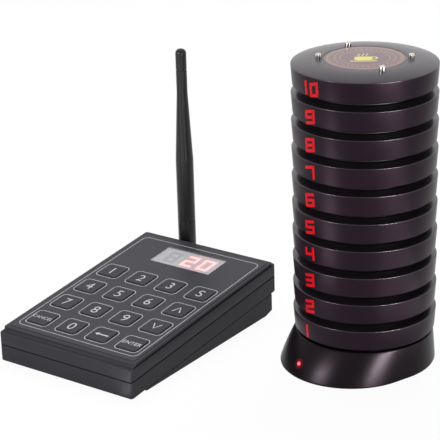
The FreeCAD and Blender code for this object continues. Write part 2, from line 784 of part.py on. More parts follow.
def charger_shell():
    """Egg shaped body, lofted through three levels, with a round cup on top."""
    body = new_body("charger_body")
    outside = [
        (foot_thickness, charger_bottom_radius, nose_bottom),
        (charger_middle, charger_middle_radius, nose_middle),
        (charger_height, charger_top_radius, nose_top),
    ]
    inside = outside[:2] + [(cup_floor - charger_wall, charger_top_radius, nose_top)]
    skins = []
    for label, sections, inset in (("outside", outside, ZERO), ("inside", inside, charger_wall)):
        sketches = []
        for index, (level, radius, reach) in enumerate(sections):
            sketch = new_sketch(body, f"charger_{label}_{index}", lift=level)
            egg(sketch, radius - inset, reach)
            sketches.append(sketch)
        skins.append(sketches)
    loft(body, "Additive", skins[0], "charger_outside")
    cup = new_sketch(body, "charger_cup_circle", lift=charger_height)
    circle(cup, 0, 0, cup_radius)
    hollow = pocket(body, cup, charger_height - cup_floor, "charger_cup")
    mouth = edges_where(
        hollow,
        lambda box: abs(box.ZMin - charger_height.value) < 1e-4
        and abs(box.ZMax - charger_height.value) < 1e-4
        and box.XMax < cup_radius.value + 1e-3,
    )
    dress(body, "Chamfer", hollow, mouth, cup_chamfer, "charger_cup_bevel")
    loft(body, "Subtractive", skins[1], "charger_inside")
    return place(body, 0, 0, 0, Z_AXIS, charger_turn)


def charger_openings():
    """Holes for the four contacts, the status lamp and the jack."""
    holes = [
        disc(f"charger_hole_{index}", pin_radius + fit_gap, x, y, plate_top, charger_height)
        for index, (x, y) in enumerate(CONTACTS, start=1)
    ]
    contacts = place(group("charger_holes", holes), 0, 0, 0, Z_AXIS, pin_turn)
    lamp = status_lamp("charger_lamp_hole", lamp_radius + contact_gap)
    nose = rod(
        "charger_jack_hole",
        jack_nose_radius + fit_gap,
        0,
        charger_middle_radius - charger_wall * 2,
        charger_bottom_radius + charger_wall,
        charger_board_top + jack_width / 2,
    )
    turned = place(group("charger_turned_holes", [lamp, nose]), 0, 0, 0, Z_AXIS, charger_turn)
    return group("charger_tools", [contacts, turned])


def status_lamp(name, radius):
    """Light pipe through the nose, square to its slope, standing a little proud."""
    foot_reach = charger_bottom_radius + nose_bottom
    middle_reach = charger_middle_radius + nose_middle
    share = (lamp_height - foot_thickness) / (charger_middle - foot_thickness)
    surface = foot_reach - (foot_reach - middle_reach) * share
    back = lamp_length - lamp_proud
    return disc(
        name,
        radius,
        0,
        back * cosine(lamp_tilt) - surface,
        lamp_height - back * sine(lamp_tilt),
        lamp_height - back * sine(lamp_tilt) + lamp_length,
        X_AXIS,
        90 - lamp_tilt,
    )


node(cut("charger_housing", charger_shell(), charger_openings()), "charger_housing")

charger_plate = new_body("charger_plate")
plate_outline = new_sketch(charger_plate, "charger_plate_outline", lift=foot_thickness)
egg(
    plate_outline,
    charger_bottom_radius - charger_wall - plate_clearance,
    nose_bottom - plate_setback,
)
pad(charger_plate, plate_outline, plate_thickness, "charger_plate_pad")
plate_bosses = new_sketch(charger_plate, "charger_plate_bosses", lift=plate_top)
for corner in range(4):
    bearing = math.radians(45 + 90 * corner)
    circle(plate_bosses, boss_reach * math.cos(bearing), boss_reach * math.sin(bearing), boss_radius)
pad(charger_plate, plate_bosses, boss_height, "charger_plate_boss_pads")
node(place(charger_plate, 0, 0, 0, Z_AXIS, charger_turn), "charger_bottom_plate")

board_disc = disc(
    "charger_board_disc", charger_board_radius, 0, 0, charger_board_base, charger_board_top
)
node(group("charger_board", [board_disc]), "charger_board")

charger_pins = [
    rounded_pin(
        f"charger_pin_{index}",
        pin_radius,
        pin_rounding,
        x,
        y,
        charger_board_top,
        stack_base + pad_recess - contact_gap,
    )
    for index, (x, y) in enumerate(CONTACTS, start=1)
]
node(place(group("charger_contacts", charger_pins), 0, 0, 0, Z_AXIS, pin_turn), "charger_contacts")

lamp_pipe = status_lamp("charger_lamp_pipe", lamp_radius)
node(place(group("charger_lamp", [lamp_pipe]), 0, 0, 0, Z_AXIS, charger_turn), "charger_status_lamp")

charger_jack = power_jack(
    "charger_jack",
    ZERO,
    charger_middle_radius - charger_wall - charger_jack_setback,
    charger_middle_radius - charger_jack_setback / 2,
    charger_board_top,
)
node(place(group("charger_power_jack", [charger_jack]), 0, 0, 0, Z_AXIS, charger_turn), "charger_power_jack")

rubber_pad = disc("charger_pad_disc", charger_pad_radius, 0, 0, 0, foot_thickness)
node(group("charger_rubber_pad", [rubber_pad]), "charger_rubber_pad")

# -------------------------------------------------------------- keypad case

fall = sine(keypad_tilt) / cosine(keypad_tilt)
half_width = case_width / 2
lower_top = seam_height - seam_gap / 2
upper_bottom = seam_height + seam_gap / 2
shoulder_level = case_height - shoulder_drop
face_underside = case_height - face_thickness
overlay_top = case_height + overlay_proud
board_top = board_level + board_thickness
window_rear = case_length - window_inset
window_front = window_rear - window_depth


def place_in_case(feature, x=ZERO, y=ZERO):
    """Put a piece that is drawn in the case's own frame onto the counter."""
    x, y = map(as_size, (x, y))
    slope, level = sine(keypad_tilt), cosine(keypad_tilt)
    return place(
        feature,
        keypad_x + x,
        keypad_y + y * level,
        foot_thickness + y * slope,
        X_AXIS,
        keypad_tilt,
    )


def lean(level):
    """How far the case's end walls, which are plumb, stand back at a level from
    where they meet the face."""
    return fall * (level - case_height)


def case_outline(sketch, level, side, front, rear, corner):
    """Rounded outline that keeps inside the case by the given insets."""
    shift = lean(level)
    rounded_rectangle(
        sketch,
        side - half_width,
        half_width - side,
        front + shift,
        case_length - rear + shift,
        corner,
    )


def case_pad(body, level, top, insets, name):
    """Plumb layer of the case between two levels."""
    sketch = new_sketch(body, f"{name}_outline", lift=level)
    case_outline(sketch, level, *insets)
    return along_plumb(pad(body, sketch, top - level, name), fall)


def case_pocket(body, level, depth, insets, name, upward=False):
    """Plumb hollow of the case, from a level up or down."""
    sketch = new_sketch(body, f"{name}_outline", lift=level)
    case_outline(sketch, level, *insets)
    return along_plumb(pocket(body, sketch, depth, name), fall, downward=not upward)


def screw_places():
    for side in (-1, 1):
        for y in (screw_inset, case_length - screw_inset):
            yield side * (half_width - screw_inset), y


def keys_from(body, first, name):
    """Repeat the front left opening for all four columns and rows of keys."""
    axes = {feature.Role: feature for feature in body.Origin.OriginFeatures}
    pattern = body.newObject("PartDesign::LinearPattern", name)
    pattern.Originals = [first]
    pattern.Direction = (axes["X_Axis"], [""])
    pattern.Direction2 = (axes["Y_Axis"], [""])
    bind(pattern, "Length", 3 * key_pitch)
    bind(pattern, "Length2", 3 * key_pitch)
    pattern.Occurrences = 4
    pattern.Occurrences2 = 4
    body.Tip = pattern
    return pattern


def key_opening(sketch):
    """Opening of the front left key."""
    x = key_pitch * -1.5
    rounded_rectangle(
        sketch,
        x - key_width / 2 - key_gap,
        x + key_width / 2 + key_gap,
        key_row - key_depth / 2 - key_gap,
        key_row + key_depth / 2 + key_gap,
        key_corner + key_gap,
    )


def upper_shell():
    """Cover with a raised face, open to the keys and the display."""
    body = new_body("upper_shell")
    plain = (ZERO, ZERO, ZERO, case_corner)
    case_pad(body, upper_bottom, shoulder_level, plain, "upper_walls")
    stepped = (shoulder_side, shoulder_front, shoulder_rear, case_corner)
    case_pad(body, shoulder_level, case_height, stepped, "upper_face")

    foot = shoulder_front + lean(shoulder_level)
    brow = shoulder_level + cove_radius
    cove_profile = new_sketch(body, "upper_cove_profile", "YZ_Plane")
    polygon(
        cove_profile,
        [
            (foot + face_land, shoulder_level),
            (foot + face_land, brow),
            (foot + face_rounding, brow),
            (foot - cove_radius, shoulder_level),
        ],
        arcs={2: (foot - cove_radius, False)},
    )
    cove = pad(body, cove_profile, case_width - 2 * (shoulder_side + case_corner), "upper_cove")
    cove.SideType = "Symmetric"

    def across_at(inset, level):
        """Test for the edge that runs across the case's front at an inset and level."""
        y, z = (inset + lean(level)).value, level.value
        return lambda box: (
            max(abs(box.YMin - y), abs(box.YMax - y), abs(box.ZMin - z), abs(box.ZMax - z)) < 1e-4
        )

    edge = edges_where(cove, across_at(ZERO, shoulder_level))
    lip = dress(body, "Fillet", cove, edge, lip_rounding, "upper_lip")
    edge = edges_where(lip, across_at(shoulder_front, case_height))
    dress(body, "Fillet", lip, edge, face_rounding, "upper_face_edge")

    shoulder_underside = shoulder_level - face_thickness
    hollow = (case_wall, case_wall, case_wall, hollow_corner)
    case_pocket(
        body, upper_bottom, shoulder_underside - upper_bottom, hollow, "upper_hollow", upward=True
    )
    deep = (
        shoulder_side + face_land,
        shoulder_front + face_land,
        shoulder_rear + face_land,
        hollow_corner,
    )
    case_pocket(body, shoulder_underside, shoulder_drop, deep, "upper_deep", upward=True)
    inset = lip_wall - fit_gap
    rebate = (inset, inset, inset, hollow_corner)
    rebate_height = lip_height - seam_gap + fit_gap
    case_pocket(body, upper_bottom, rebate_height, rebate, "upper_rebate", upward=True)

    bosses = new_sketch(body, "upper_boss_circles", lift=seam_height)
    for x, y in screw_places():
        circle(bosses, x, y, screw_post)
        circle(bosses, x, y, screw_radius + contact_gap)
    pad(body, bosses, face_underside - seam_height + fit_gap, "upper_bosses")

    recess = (overlay_side, overlay_front, overlay_rear, overlay_corner)
    case_pocket(body, case_height, overlay_thickness - overlay_proud, recess, "upper_recess")
    window = new_sketch(body, "upper_window_outline", lift=case_height)
    rectangle(window, window_width / -2, window_width / 2, window_front, window_rear)
    pocket(body, window, shoulder_drop + face_thickness, "upper_window")
    opening = new_sketch(body, "upper_key_outline", lift=case_height)
    key_opening(opening)
    first = pocket(body, opening, shoulder_drop + face_thickness, "upper_key_opening")
    keys_from(body, first, "upper_key_openings")
    return body


def socket_bore():
    """Level bore through the rear wall, wider inside for the socket's flange."""
    through = rod(
        "socket_bore_through", socket_radius + contact_gap, 0, case_wall * -2, case_wall, 0
    )
    relief = rod(
        "socket_bore_relief",
        socket_flange_radius + fit_gap,
        0,
        case_wall * -4,
        -case_wall,
        0,
    )
    bore = group("socket_bore", [through, relief])
    wall = case_length + lean(socket_level)
    return place(bore, antenna_offset, wall, socket_level, X_AXIS, -keypad_tilt)


def lower_shell():
    """Tray with posts for the board and the case screws."""
    body = new_body("lower_shell")
    plain = (ZERO, ZERO, ZERO, case_corner)
    walls = case_pad(body, ZERO, lower_top, plain, "lower_walls")
    rim = edges_where(walls, lambda box: box.ZMax < 1e-4)
    dress(body, "Chamfer", walls, rim, case_bevel, "lower_bevel")
    hollow = (case_wall, case_wall, case_wall, hollow_corner)
    case_pocket(body, lower_top, lower_top - case_wall, hollow, "lower_hollow")
    lip = new_sketch(body, "lower_lip_outline", lift=lower_top)
    for inset in (lip_wall, case_wall):
        case_outline(lip, lower_top, inset, inset, inset, hollow_corner)
    along_plumb(pad(body, lip, lip_height, "lower_lip"), fall)
    posts = new_sketch(body, "lower_post_circles", lift=case_wall - fit_gap)
    for side in (-1, 1):
        for y in (post_front, case_length - post_rear):
            circle(posts, side * post_reach, y, boss_radius)
    pad(body, posts, board_level - case_wall + fit_gap, "lower_posts")
    screw_posts = new_sketch(body, "lower_screw_circles", lift=case_wall - fit_gap)
    for x, y in screw_places():
        circle(screw_posts, x, y, screw_post)
    pad(body, screw_posts, seam_height - case_wall + fit_gap, "lower_screw_posts")
    shanks = new_sketch(body, "lower_shank_circles")
    for x, y in screw_places():
        circle(shanks, x, y, screw_radius + contact_gap)
    pocket(body, shanks, seam_height, "lower_shank_holes", upward=True)
    heads = new_sketch(body, "lower_head_circles")
    for x, y in screw_places():
        circle(heads, x, y, screw_head + contact_gap)
    pocket(body, heads, screw_head_height + screw_sink, "lower_head_holes", upward=True)
    return body


antenna_bore = socket_bore()
keypad_top = cut("keypad_top", upper_shell(), antenna_bore)
node(place_in_case(keypad_top), "keypad_top_cover")

jack_wall = case_length + lean(case_wall)
keypad_jack_front = jack_wall - case_wall - fit_gap
jack_hole = rod(
    "keypad_jack_hole",
    jack_nose_radius + fit_gap,
    jack_offset,
    case_length - case_wall * 2,
    case_length + case_wall,
    case_wall + jack_width / 2,
)
rear_holes = group("keypad_rear_holes", [antenna_bore, jack_hole])
keypad_bottom = cut("keypad_bottom", lower_shell(), rear_holes)
node(place_in_case(keypad_bottom), "keypad_bottom_cover")

keypad_jack = power_jack(
    "keypad_jack", jack_offset, keypad_jack_front, jack_wall - fit_gap * 2, case_wall
)
node(place_in_case(group("keypad_power_jack", [keypad_jack])), "keypad_power_jack")

# Wedge below the case: its underside lies level, its top on the case


def wedge(front, rear, wall, run, rise):
    """Side profile of the stand, or of its hollow a wall further in."""
    ground = (wall - fall * rear) / (1 - fall * fall)
    end = rear + fall * ground
    return [
        (front, 0),
        (front, wall - fall * front),
        (end - run, wall - fall * (end - run)),
        (end + fall * rise, ground + rise),
        (rear, 0),
    ]


stand = new_body("stand")
stand_end = case_length + lean(ZERO) - stand_rear
stand_profile = new_sketch(stand, "stand_profile", "YZ_Plane")
polygon(stand_profile, wedge(stand_front, stand_end, ZERO, stand_run, stand_rise))
stand_pad = pad(stand, stand_profile, case_width - 2 * stand_side, "stand_wedge")
stand_pad.SideType = "Symmetric"
stand_hollow_profile = new_sketch(stand, "stand_hollow_profile", "YZ_Plane")
hollow_end = stand_end - stand_wall
polygon(
    stand_hollow_profile,
    wedge(stand_hollow, hollow_end, stand_wall, stand_run, stand_rise),
)
stand_cut = pocket(
    stand, stand_hollow_profile, case_width - 2 * (stand_side + stand_wall), "stand_hollow"
)
stand_cut.SideType = "Symmetric"
node(place_in_case(stand), "keypad_stand")

keypad_feet = [
    disc(
        f"keypad_foot_{side + 2}_{row}",
        keypad_foot_radius,
        keypad_x + side * (half_width - keypad_foot_inset),
        keypad_y + y,
        0,
        foot_thickness,
    )
    for side in (-1, 1)
    for row, y in enumerate((front_foot_inset, case_length - rear_foot_inset))
]
node(group("keypad_feet", keypad_feet), "keypad_feet")


def case_screw(index, x, y):
    """Pan head and shank in one solid."""
    seat = screw_sink + screw_head_height
    head = disc(f"screw_head_{index}", screw_head, x, y, screw_sink, seat)
    shank = disc(f"screw_shank_{index}", screw_radius, x, y, screw_sink, seat + screw_length)
    return fuse(f"screw_{index}", [head, shank])


case_screws = [case_screw(index, x, y) for index, (x, y) in enumerate(screw_places(), start=1)]
node(place_in_case(group("keypad_screws", case_screws)), "keypad_screws")

# Printed overlay, window, display and board
overlay = new_body("overlay")
overlay_outline = new_sketch(overlay, "overlay_outline", lift=overlay_top - overlay_thickness)
case_outline(
    overlay_outline,
    case_height,
    overlay_side + fit_gap,
    overlay_front + fit_gap,
    overlay_rear + fit_gap,
    overlay_corner - fit_gap,
)
pad(overlay, overlay_outline, overlay_thickness, "overlay_sheet")
overlay_window = new_sketch(overlay, "overlay_window", lift=overlay_top)
rectangle(overlay_window, window_width / -2, window_width / 2, window_front, window_rear)
pocket(overlay, overlay_window, overlay_thickness, "overlay_window_cut")
overlay_key = new_sketch(overlay, "overlay_key", lift=overlay_top)
key_opening(overlay_key)
overlay_key_cut = pocket(overlay, overlay_key, overlay_thickness, "overlay_key_cut")
keys_from(overlay, overlay_key_cut, "overlay_keys")
node(place_in_case(overlay), "keypad_overlay")

lens = block(
    "lens",
    window_width / -2 + fit_gap,
    window_width / 2 - fit_gap,
    window_front + fit_gap,
    window_rear - fit_gap,
    overlay_top - lens_thickness,
    overlay_top,
)
node(place_in_case(group("display_lens", [lens])), "display_lens")

display_middle = window_front + window_depth / 2
display = block(
    "display",
    display_width / -2,
    display_width / 2,
    display_middle - display_depth / 2,
    display_middle + display_depth / 2,
    board_top,
    overlay_top - lens_thickness,
)
node(place_in_case(group("display_module", [display])), "display_module")

keypad_plate = block(
    "keypad_plate",
    board_width / -2,
    board_width / 2,
    board_front,
    case_length - board_rear,
    board_level,
    board_top,
)
radio_left = boss_radius + fit_gap - post_reach
radio_can = block(
    "radio_can",
    radio_left,
    radio_left + radio_width,
    case_length - board_rear - radio_depth,
    case_length - board_rear,
    board_level - radio_height,
    board_level,
)
node(place_in_case(fuse("keypad_board", [keypad_plate, radio_can])), "keypad_board")

# ------------------------------------------------------------- keys, drawn
# once about their own middle, at the level of the case's underside

flange_top = face_underside - fit_gap
flange_bottom = flange_top - flange_thickness
plunger_top = flange_bottom - key_travel - contact_gap


def key_cap():
    """Flat cap with a flange that holds it below the face."""
    body = new_body("key")
    cap = new_sketch(body, "key_cap_outline", lift=flange_bottom)
    x, y = key_width / 2, key_depth / 2
    rounded_rectangle(cap, -x, x, -y, y, key_corner)
    pad(body, cap, overlay_top + key_proud - flange_bottom, "key_cap")
    flange = new_sketch(body, "key_flange_outline", lift=flange_bottom)
    x, y = x + flange_width, y + flange_width
    rounded_rectangle(flange, -x, x, -y, y, key_corner + flange_width)
    pad(body, flange, flange_thickness, "key_flange")
    return body


def key_switch(name, x, y):
    """Push switch on the board, its plunger one travel below the key."""
    base = block(
        f"{name}_base",
        x - switch_width / 2,
        x + switch_width / 2,
        y - switch_width / 2,
        y + switch_width / 2,
        board_top,
        board_top + switch_body,
    )
    plunger = disc(f"{name}_plunger", plunger_radius, x, y, board_top, plunger_top)
    return fuse(name, [base, plunger])


KEYS = [
    ["cancel", "0", "arrow", "enter"],
    ["7", "8", "9", "down"],
    ["4", "5", "6", "up"],
    ["1", "2", "3", "s"],
]

one_key = key_cap()
switches = []
for row, names in enumerate(KEYS):
    for column, name in enumerate(names):
        x = key_pitch * (column - 1.5)
        y = key_row + key_pitch * row
        node(place_in_case(group(f"key_{name}", [one_key]), x, y), f"key_{name}")
        switches.append(key_switch(f"switch_{name}", x, y))
node(place_in_case(group("key_switches", switches)), "key_switches")

# ------------------------------------------------------------------ antenna
# Socket and swivelling fork are drawn about the point where the socket's axis
# leaves the rear wall; the whip is drawn about the hinge pin. All stand level.


def place_on_rear(feature, reach=ZERO):
    """Put a piece onto the keypad's rear wall, reach behind it."""
    slope, level = sine(keypad_tilt), cosine(keypad_tilt)
    wall = case_length + lean(socket_level)
    return place(
        feature,
        keypad_x + antenna_offset,
        keypad_y + wall * level - socket_level * slope + reach,
        foot_thickness + wall * slope + socket_level * level,
    )


def across(name, radius, reach, y=ZERO):
    """Cylinder along X, as far to the left as to the right."""
    feature = doc.addObject("Part::Cylinder", name)
    bind(feature, "Radius", radius)
    bind(feature, "Height", reach * 2)
    return place(feature, -reach, y, 0, Vector(0, 1, 0), as_size(90))


flange_end = -case_wall - socket_flange
socket_barrel = rod("socket_barrel", socket_radius, 0, flange_end, socket_reach, 0)
socket_flange_disc = rod(
    "socket_flange_disc", socket_flange_radius, 0, flange_end, -case_wall, 0
)
socket_nut = doc.addObject("Part::Prism", "socket_nut")
socket_nut.Polygon = 6
bind(socket_nut, "Circumradius", nut_radius)
bind(socket_nut, "Height", nut_thickness)
place(socket_nut, 0, 0, 0, X_AXIS, as_size(-90))
socket = fuse("antenna_socket", [socket_barrel, socket_flange_disc, socket_nut])
node(place_on_rear(socket), "antenna_socket")

slot_half = tang_thickness / 2 + tang_gap
ear_outside = slot_half + ear_thickness
collar_end = collar_start + collar_length


def antenna_fork():
    """Collar that turns on the socket and carries two ears."""
    arms = block(
        "fork_arms",
        -ear_outside,
        ear_outside,
        collar_end - arm_root,
        hinge_reach,
        arm_height / -2,
        arm_height / 2,
    )
    solid = [
        rod("fork_collar", collar_radius, 0, collar_start, collar_end, 0),
        across("fork_ears", ear_radius, ear_outside, hinge_reach),
        arms,
    ]
    slot = block(
        "fork_slot",
        -slot_half,
        slot_half,
        collar_end,
        hinge_reach + ear_radius * 2,
        ear_radius * -2,
        ear_radius * 2,
    )
    tools = [
        slot,
        rod("fork_bore", socket_radius + contact_gap, 0, 0, socket_reach + collar_play, 0),
        across("fork_pin_hole", hinge_radius, ear_outside, hinge_reach),
    ]
    return cut("antenna_fork_cut", fuse("fork_solid", solid), group("fork_tools", tools))


node(place_on_rear(group("antenna_knuckle", [antenna_fork()])), "antenna_knuckle")
hinge_pin = across("hinge_pin", hinge_radius, ear_outside)
node(place_on_rear(group("antenna_hinge_pin", [hinge_pin]), hinge_reach), "antenna_hinge_pin")


def antenna_rod():
    """Turned rod with two ring grooves, thick below and slim above a taper."""
    body = new_body("antenna_rod")
    profile = new_sketch(body, "antenna_profile", "XZ_Plane")
    edge = groove_width / 2
    taper_end = antenna_height - tip_length
    tip_joint = antenna_height - tip_cap
    polygon(
        profile,
        [
            (0, barrel_start),
            (barrel_radius - groove_width, barrel_start),
            (barrel_radius, barrel_start + groove_width),
            (barrel_radius, barrel_joint - edge),
            (barrel_radius - groove_depth, barrel_joint - edge),
            (barrel_radius - groove_depth, barrel_joint + edge),
            (barrel_radius, barrel_joint + edge),
            (barrel_radius, taper_start),
            (tip_radius, taper_end),
            (tip_radius, tip_joint - edge),
            (tip_radius - groove_depth, tip_joint - edge),
            (tip_radius - groove_depth, tip_joint + edge),
            (tip_radius, tip_joint + edge),
            (tip_radius, antenna_height - tip_rounding),
            (tip_radius - tip_rounding, antenna_height),
            (0, antenna_height),
        ],
        arcs={13: (tip_radius - tip_rounding, True)},
    )
    revolve(body, profile, "antenna_turned")
    return body


tang = block(
    "tang",
    tang_thickness / -2,
    tang_thickness / 2,
    -ear_radius + tang_gap,
    ear_radius - tang_gap,
    0,
    barrel_start + groove_width,
)
tang_eye = across("tang_eye", ear_radius - tang_gap, tang_thickness / 2)
tang_hole = across("tang_hole", hinge_radius + hinge_fit, tang_thickness / 2)
whip = cut("whip_cut", fuse("whip_solid", [antenna_rod(), tang, tang_eye]), tang_hole)
node(place_on_rear(whip, hinge_reach), "antenna_whip")

# ------------------------------------------------------------ test and save

doc.recompute()

for feature in doc.Objects:
    if "Invalid" in feature.State or "Error" in feature.State:
        raise RuntimeError(f"{feature.Name} failed: {feature.State}")

for feature in nodes:
    shape = feature.Shape
    if shape.isNull() or not shape.isValid() or not shape.Solids:
        raise RuntimeError(f"{feature.Label} has no valid solid")

os.makedirs("parts", exist_ok=True)
for feature in nodes:
    feature.Shape.exportStep(f"parts/{feature.Label}.step")
    print(f"{feature.Label}: {len(feature.Shape.Solids)} solids, {feature.Shape.Volume:.0f} mm3")
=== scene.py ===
import math

import bmesh
import bpy
import numpy as np
from mathutils import Matrix, Vector


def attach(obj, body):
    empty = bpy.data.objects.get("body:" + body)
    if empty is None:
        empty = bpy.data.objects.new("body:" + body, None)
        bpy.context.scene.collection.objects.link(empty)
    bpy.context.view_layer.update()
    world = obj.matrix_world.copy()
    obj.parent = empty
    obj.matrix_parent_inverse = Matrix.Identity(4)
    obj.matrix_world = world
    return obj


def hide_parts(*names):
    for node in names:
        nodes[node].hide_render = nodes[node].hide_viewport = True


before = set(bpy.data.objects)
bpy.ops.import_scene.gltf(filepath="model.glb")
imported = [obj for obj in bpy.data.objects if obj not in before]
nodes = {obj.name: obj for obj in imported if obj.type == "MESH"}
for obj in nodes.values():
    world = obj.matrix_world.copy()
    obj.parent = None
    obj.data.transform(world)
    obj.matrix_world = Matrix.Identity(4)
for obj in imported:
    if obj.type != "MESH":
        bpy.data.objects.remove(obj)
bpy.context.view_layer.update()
scene = bpy.context.scene
scene.view_settings.view_transform = "Standard"

# ------------------------------------------------------------------ camera
# A long lens on a tripod, a metre and a quarter away and about twenty one
# degrees above the counter, turned a trace clockwise about its own axis.

EYE = Vector((0.58373, -0.96367, 0.53812))
AHEAD = Vector((-0.54811, 0.75331, -0.36348)).normalized()
ROLL = 0.029
FOCAL_PIXELS, PICTURE_PIXELS, SENSOR_WIDTH = 1836, 440, 36.0
level_right = Vector((AHEAD.y, -AHEAD.x, 0)).normalized()
level_down = AHEAD.cross(level_right)
right = level_right * math.cos(ROLL) + level_down * math.sin(ROLL)
down = level_down * math.cos(ROLL) - level_right * math.sin(ROLL)

lens = bpy.data.cameras.new("tripod_camera")
lens.sensor_fit = "HORIZONTAL"
lens.sensor_width = SENSOR_WIDTH
lens.lens = FOCAL_PIXELS / PICTURE_PIXELS * SENSOR_WIDTH
lens.clip_end = 20
camera = bpy.data.objects.new("tripod_camera", lens)
camera.matrix_world = Matrix(
    (
        (right.x, -down.x, -AHEAD.x, EYE.x),
        (right.y, -down.y, -AHEAD.y, EYE.y),
        (right.z, -down.z, -AHEAD.z, EYE.z),
        (0, 0, 0, 1),
    )
)
scene.collection.objects.link(camera)
scene.camera = camera

# ----------------------------------------------------------------- counter
# A matt white counter in a room of white paper.  The paper gives an even grey
# light; the eye and mirrors see both as white, with the object's soft shadow.


class Wire:
    """One output in a material's node tree; arithmetic on it adds Math nodes."""

    def __init__(self, tree, socket=None):
        self.tree = tree
        self.socket = socket

    def add(self, kind, sockets=None, output=0, **settings):
        """Add a node of that kind, set it up, feed its sockets, return an output."""
        node = self.tree.nodes.new(kind)
        for name, value in settings.items():
            setattr(node, name, value)
        for name, value in (sockets or {}).items():
            if isinstance(value, Wire):
                value.feed(node, name)
            else:
                node.inputs[name].default_value = value
        return Wire(self.tree, node.outputs[output]) if node.outputs else None

    def feed(self, node, name):
        """Link this to a socket of a node."""
        self.tree.links.new(self.socket, node.inputs[name])

    def maths(self, operation, *values):
        """This and any further values, through one Math node."""
        sockets = dict(enumerate((self, *values)))
        return self.add("ShaderNodeMath", sockets, operation=operation)

    def __add__(self, other):
        return self.maths("ADD", other)

    __radd__ = __add__

    def __mul__(self, other):
        return self.maths("MULTIPLY", other)

    __rmul__ = __mul__

    def __sub__(self, other):
        return self.maths("SUBTRACT", other)

    def __rsub__(self, other):
        return self * -1.0 + other

    def blend(self, low, high):
        """Colour low where this is 0 and high where it is 1."""
        low, high = ((*c, 1.0) if isinstance(c, tuple) else c for c in (low, high))
        return self.add("ShaderNodeMix", {0: self, 6: low, 7: high}, 2, data_type="RGBA")

    def band(self, start, end):
        """0 on start's side, 1 on end's side, smooth between."""
        sockets = {"Value": self, "From Min": start, "From Max": end}
        return self.add("ShaderNodeMapRange", sockets, interpolation_type="SMOOTHSTEP")


def in_sight(tree):
    """1 for the rays of the eye, of mirrors and of glass, 0 for all others."""
    eye, mirror, glass = (
        Wire(tree).add("ShaderNodeLightPath", output=way)
        for way in ("Is Camera Ray", "Is Glossy Ray", "Is Transmission Ray")
    )
    return eye.maths("MAXIMUM", mirror).maths("MAXIMUM", glass)


def white_ground(name, sight):
    """Matt white that the eye and mirrors see as plain white, by the share sight."""
    material = bpy.data.materials.new(name)
    material.use_nodes = True
    tree = material.node_tree
    tree.nodes.clear()
    seen = in_sight(tree)
    paint = seen.add("ShaderNodeBsdfDiffuse", {"Color": (0.8, 0.8, 0.8, 1)})
    glow = seen.add("ShaderNodeEmission", {"Color": (1, 1, 1, 1), "Strength": 1.0})
    mixed = seen.add("ShaderNodeMixShader", {0: seen * sight, 1: paint, 2: glow})
    seen.add("ShaderNodeOutputMaterial", {"Surface": mixed})
    return material


def mesh_object(name, points, faces):
    """New object of the scene from its points and faces."""
    mesh = bpy.data.meshes.new(name)
    mesh.from_pydata(np.asarray(points, float).reshape(-1, 3).tolist(), [], faces)
    thing = bpy.data.objects.new(name, mesh)
    scene.collection.objects.link(thing)
    return thing


counter = mesh_object(
    "counter", [(-6, -6, 0), (6, -6, 0), (6, 6, 0), (-6, 6, 0)], [(0, 1, 2, 3)]
)
counter.data.materials.append(white_ground("white_counter", 0.95))

world = bpy.data.worlds.new("paper_room")
scene.world = world
world.use_nodes = True
world.node_tree.nodes.clear()
seen = in_sight(world.node_tree)
tone = seen.blend((0.30, 0.30, 0.31), (1.0, 1.0, 1.0))
paper = seen.add("ShaderNodeBackground", {"Color": tone, "Strength": 1.0})
seen.add("ShaderNodeOutputWorld", {"Surface": paper})

# ------------------------------------------------------------------- lamps
# A wide soft box overhead and one at the left light all matt surfaces.  A box
# at the right, two low strips aimed at the base, and two light cards lying on
# the counter, which the upright rims mirror, only put sheens on the gloss.

MIDDLE, BASE_FRONT = (-0.05, -0.02, 0.08), (0.0, -0.04, 0.01)


def area_lamp(name, place, turn, width, height, power, sheen):
    """Flat lamp that either lights matt surfaces or, unseen by the eye, only
    shows as a sheen in glossy ones."""
    light = bpy.data.lights.new(name, "AREA")
    light.shape = "RECTANGLE"
    light.size, light.size_y = width, height
    light.energy = power
    lamp = bpy.data.objects.new(name, light)
    lamp.location, lamp.rotation_euler = place, turn
    lamp.visible_camera = lamp.visible_diffuse = not sheen
    lamp.visible_glossy = sheen
    scene.collection.objects.link(lamp)


def soft_box(name, place, aim, width, height, power, sheen):
    """Lamp at a place, turned towards a point."""
    turn = (Vector(aim) - Vector(place)).to_track_quat("-Z", "Y").to_euler()
    area_lamp(name, place, turn, width, height, power, sheen)


def light_card(name, bearing, near, far, width, power):
    """Sheen lamp lying face up on the counter, along a bearing from the pager
    stack and between two distances from its axis."""
    turn, reach = math.radians(bearing), (near + far) / 2
    place = (reach * math.cos(turn), reach * math.sin(turn), 0.001)
    area_lamp(name, place, (math.pi, 0, turn), far - near, width, power, sheen=True)


soft_box("overhead_box", (-0.35, 0.45, 1.35), MIDDLE, 1.3, 0.9, 23, sheen=False)
soft_box("left_box", (-0.45, -1.15, 0.42), MIDDLE, 0.26, 0.5, 5.2, sheen=False)
soft_box("right_box", (1.20, -0.17, 0.42), MIDDLE, 0.30, 0.5, 4.5, sheen=True)
soft_box("left_sheen", (-0.41, -1.05, 0.40), BASE_FRONT, 0.34, 0.14, 10.0, sheen=True)
soft_box("right_sheen", (1.02, -0.40, 0.14), BASE_FRONT, 0.50, 0.20, 28.0, sheen=True)
light_card("left_card", -112, 0.17, 0.50, 0.08, 0.44)
light_card("right_card", -8, 0.10, 0.50, 0.16, 0.40)

# ---------------------------------------------------------- charging base
# A weighted, polished dark moulding, closed by a plate below.  Its plan is
# round at the rear and grows forward into a low nose towards the foot; a
# shallow round cup on top seats the lowest pager.

BASE_TURN = math.radians(-20.0)
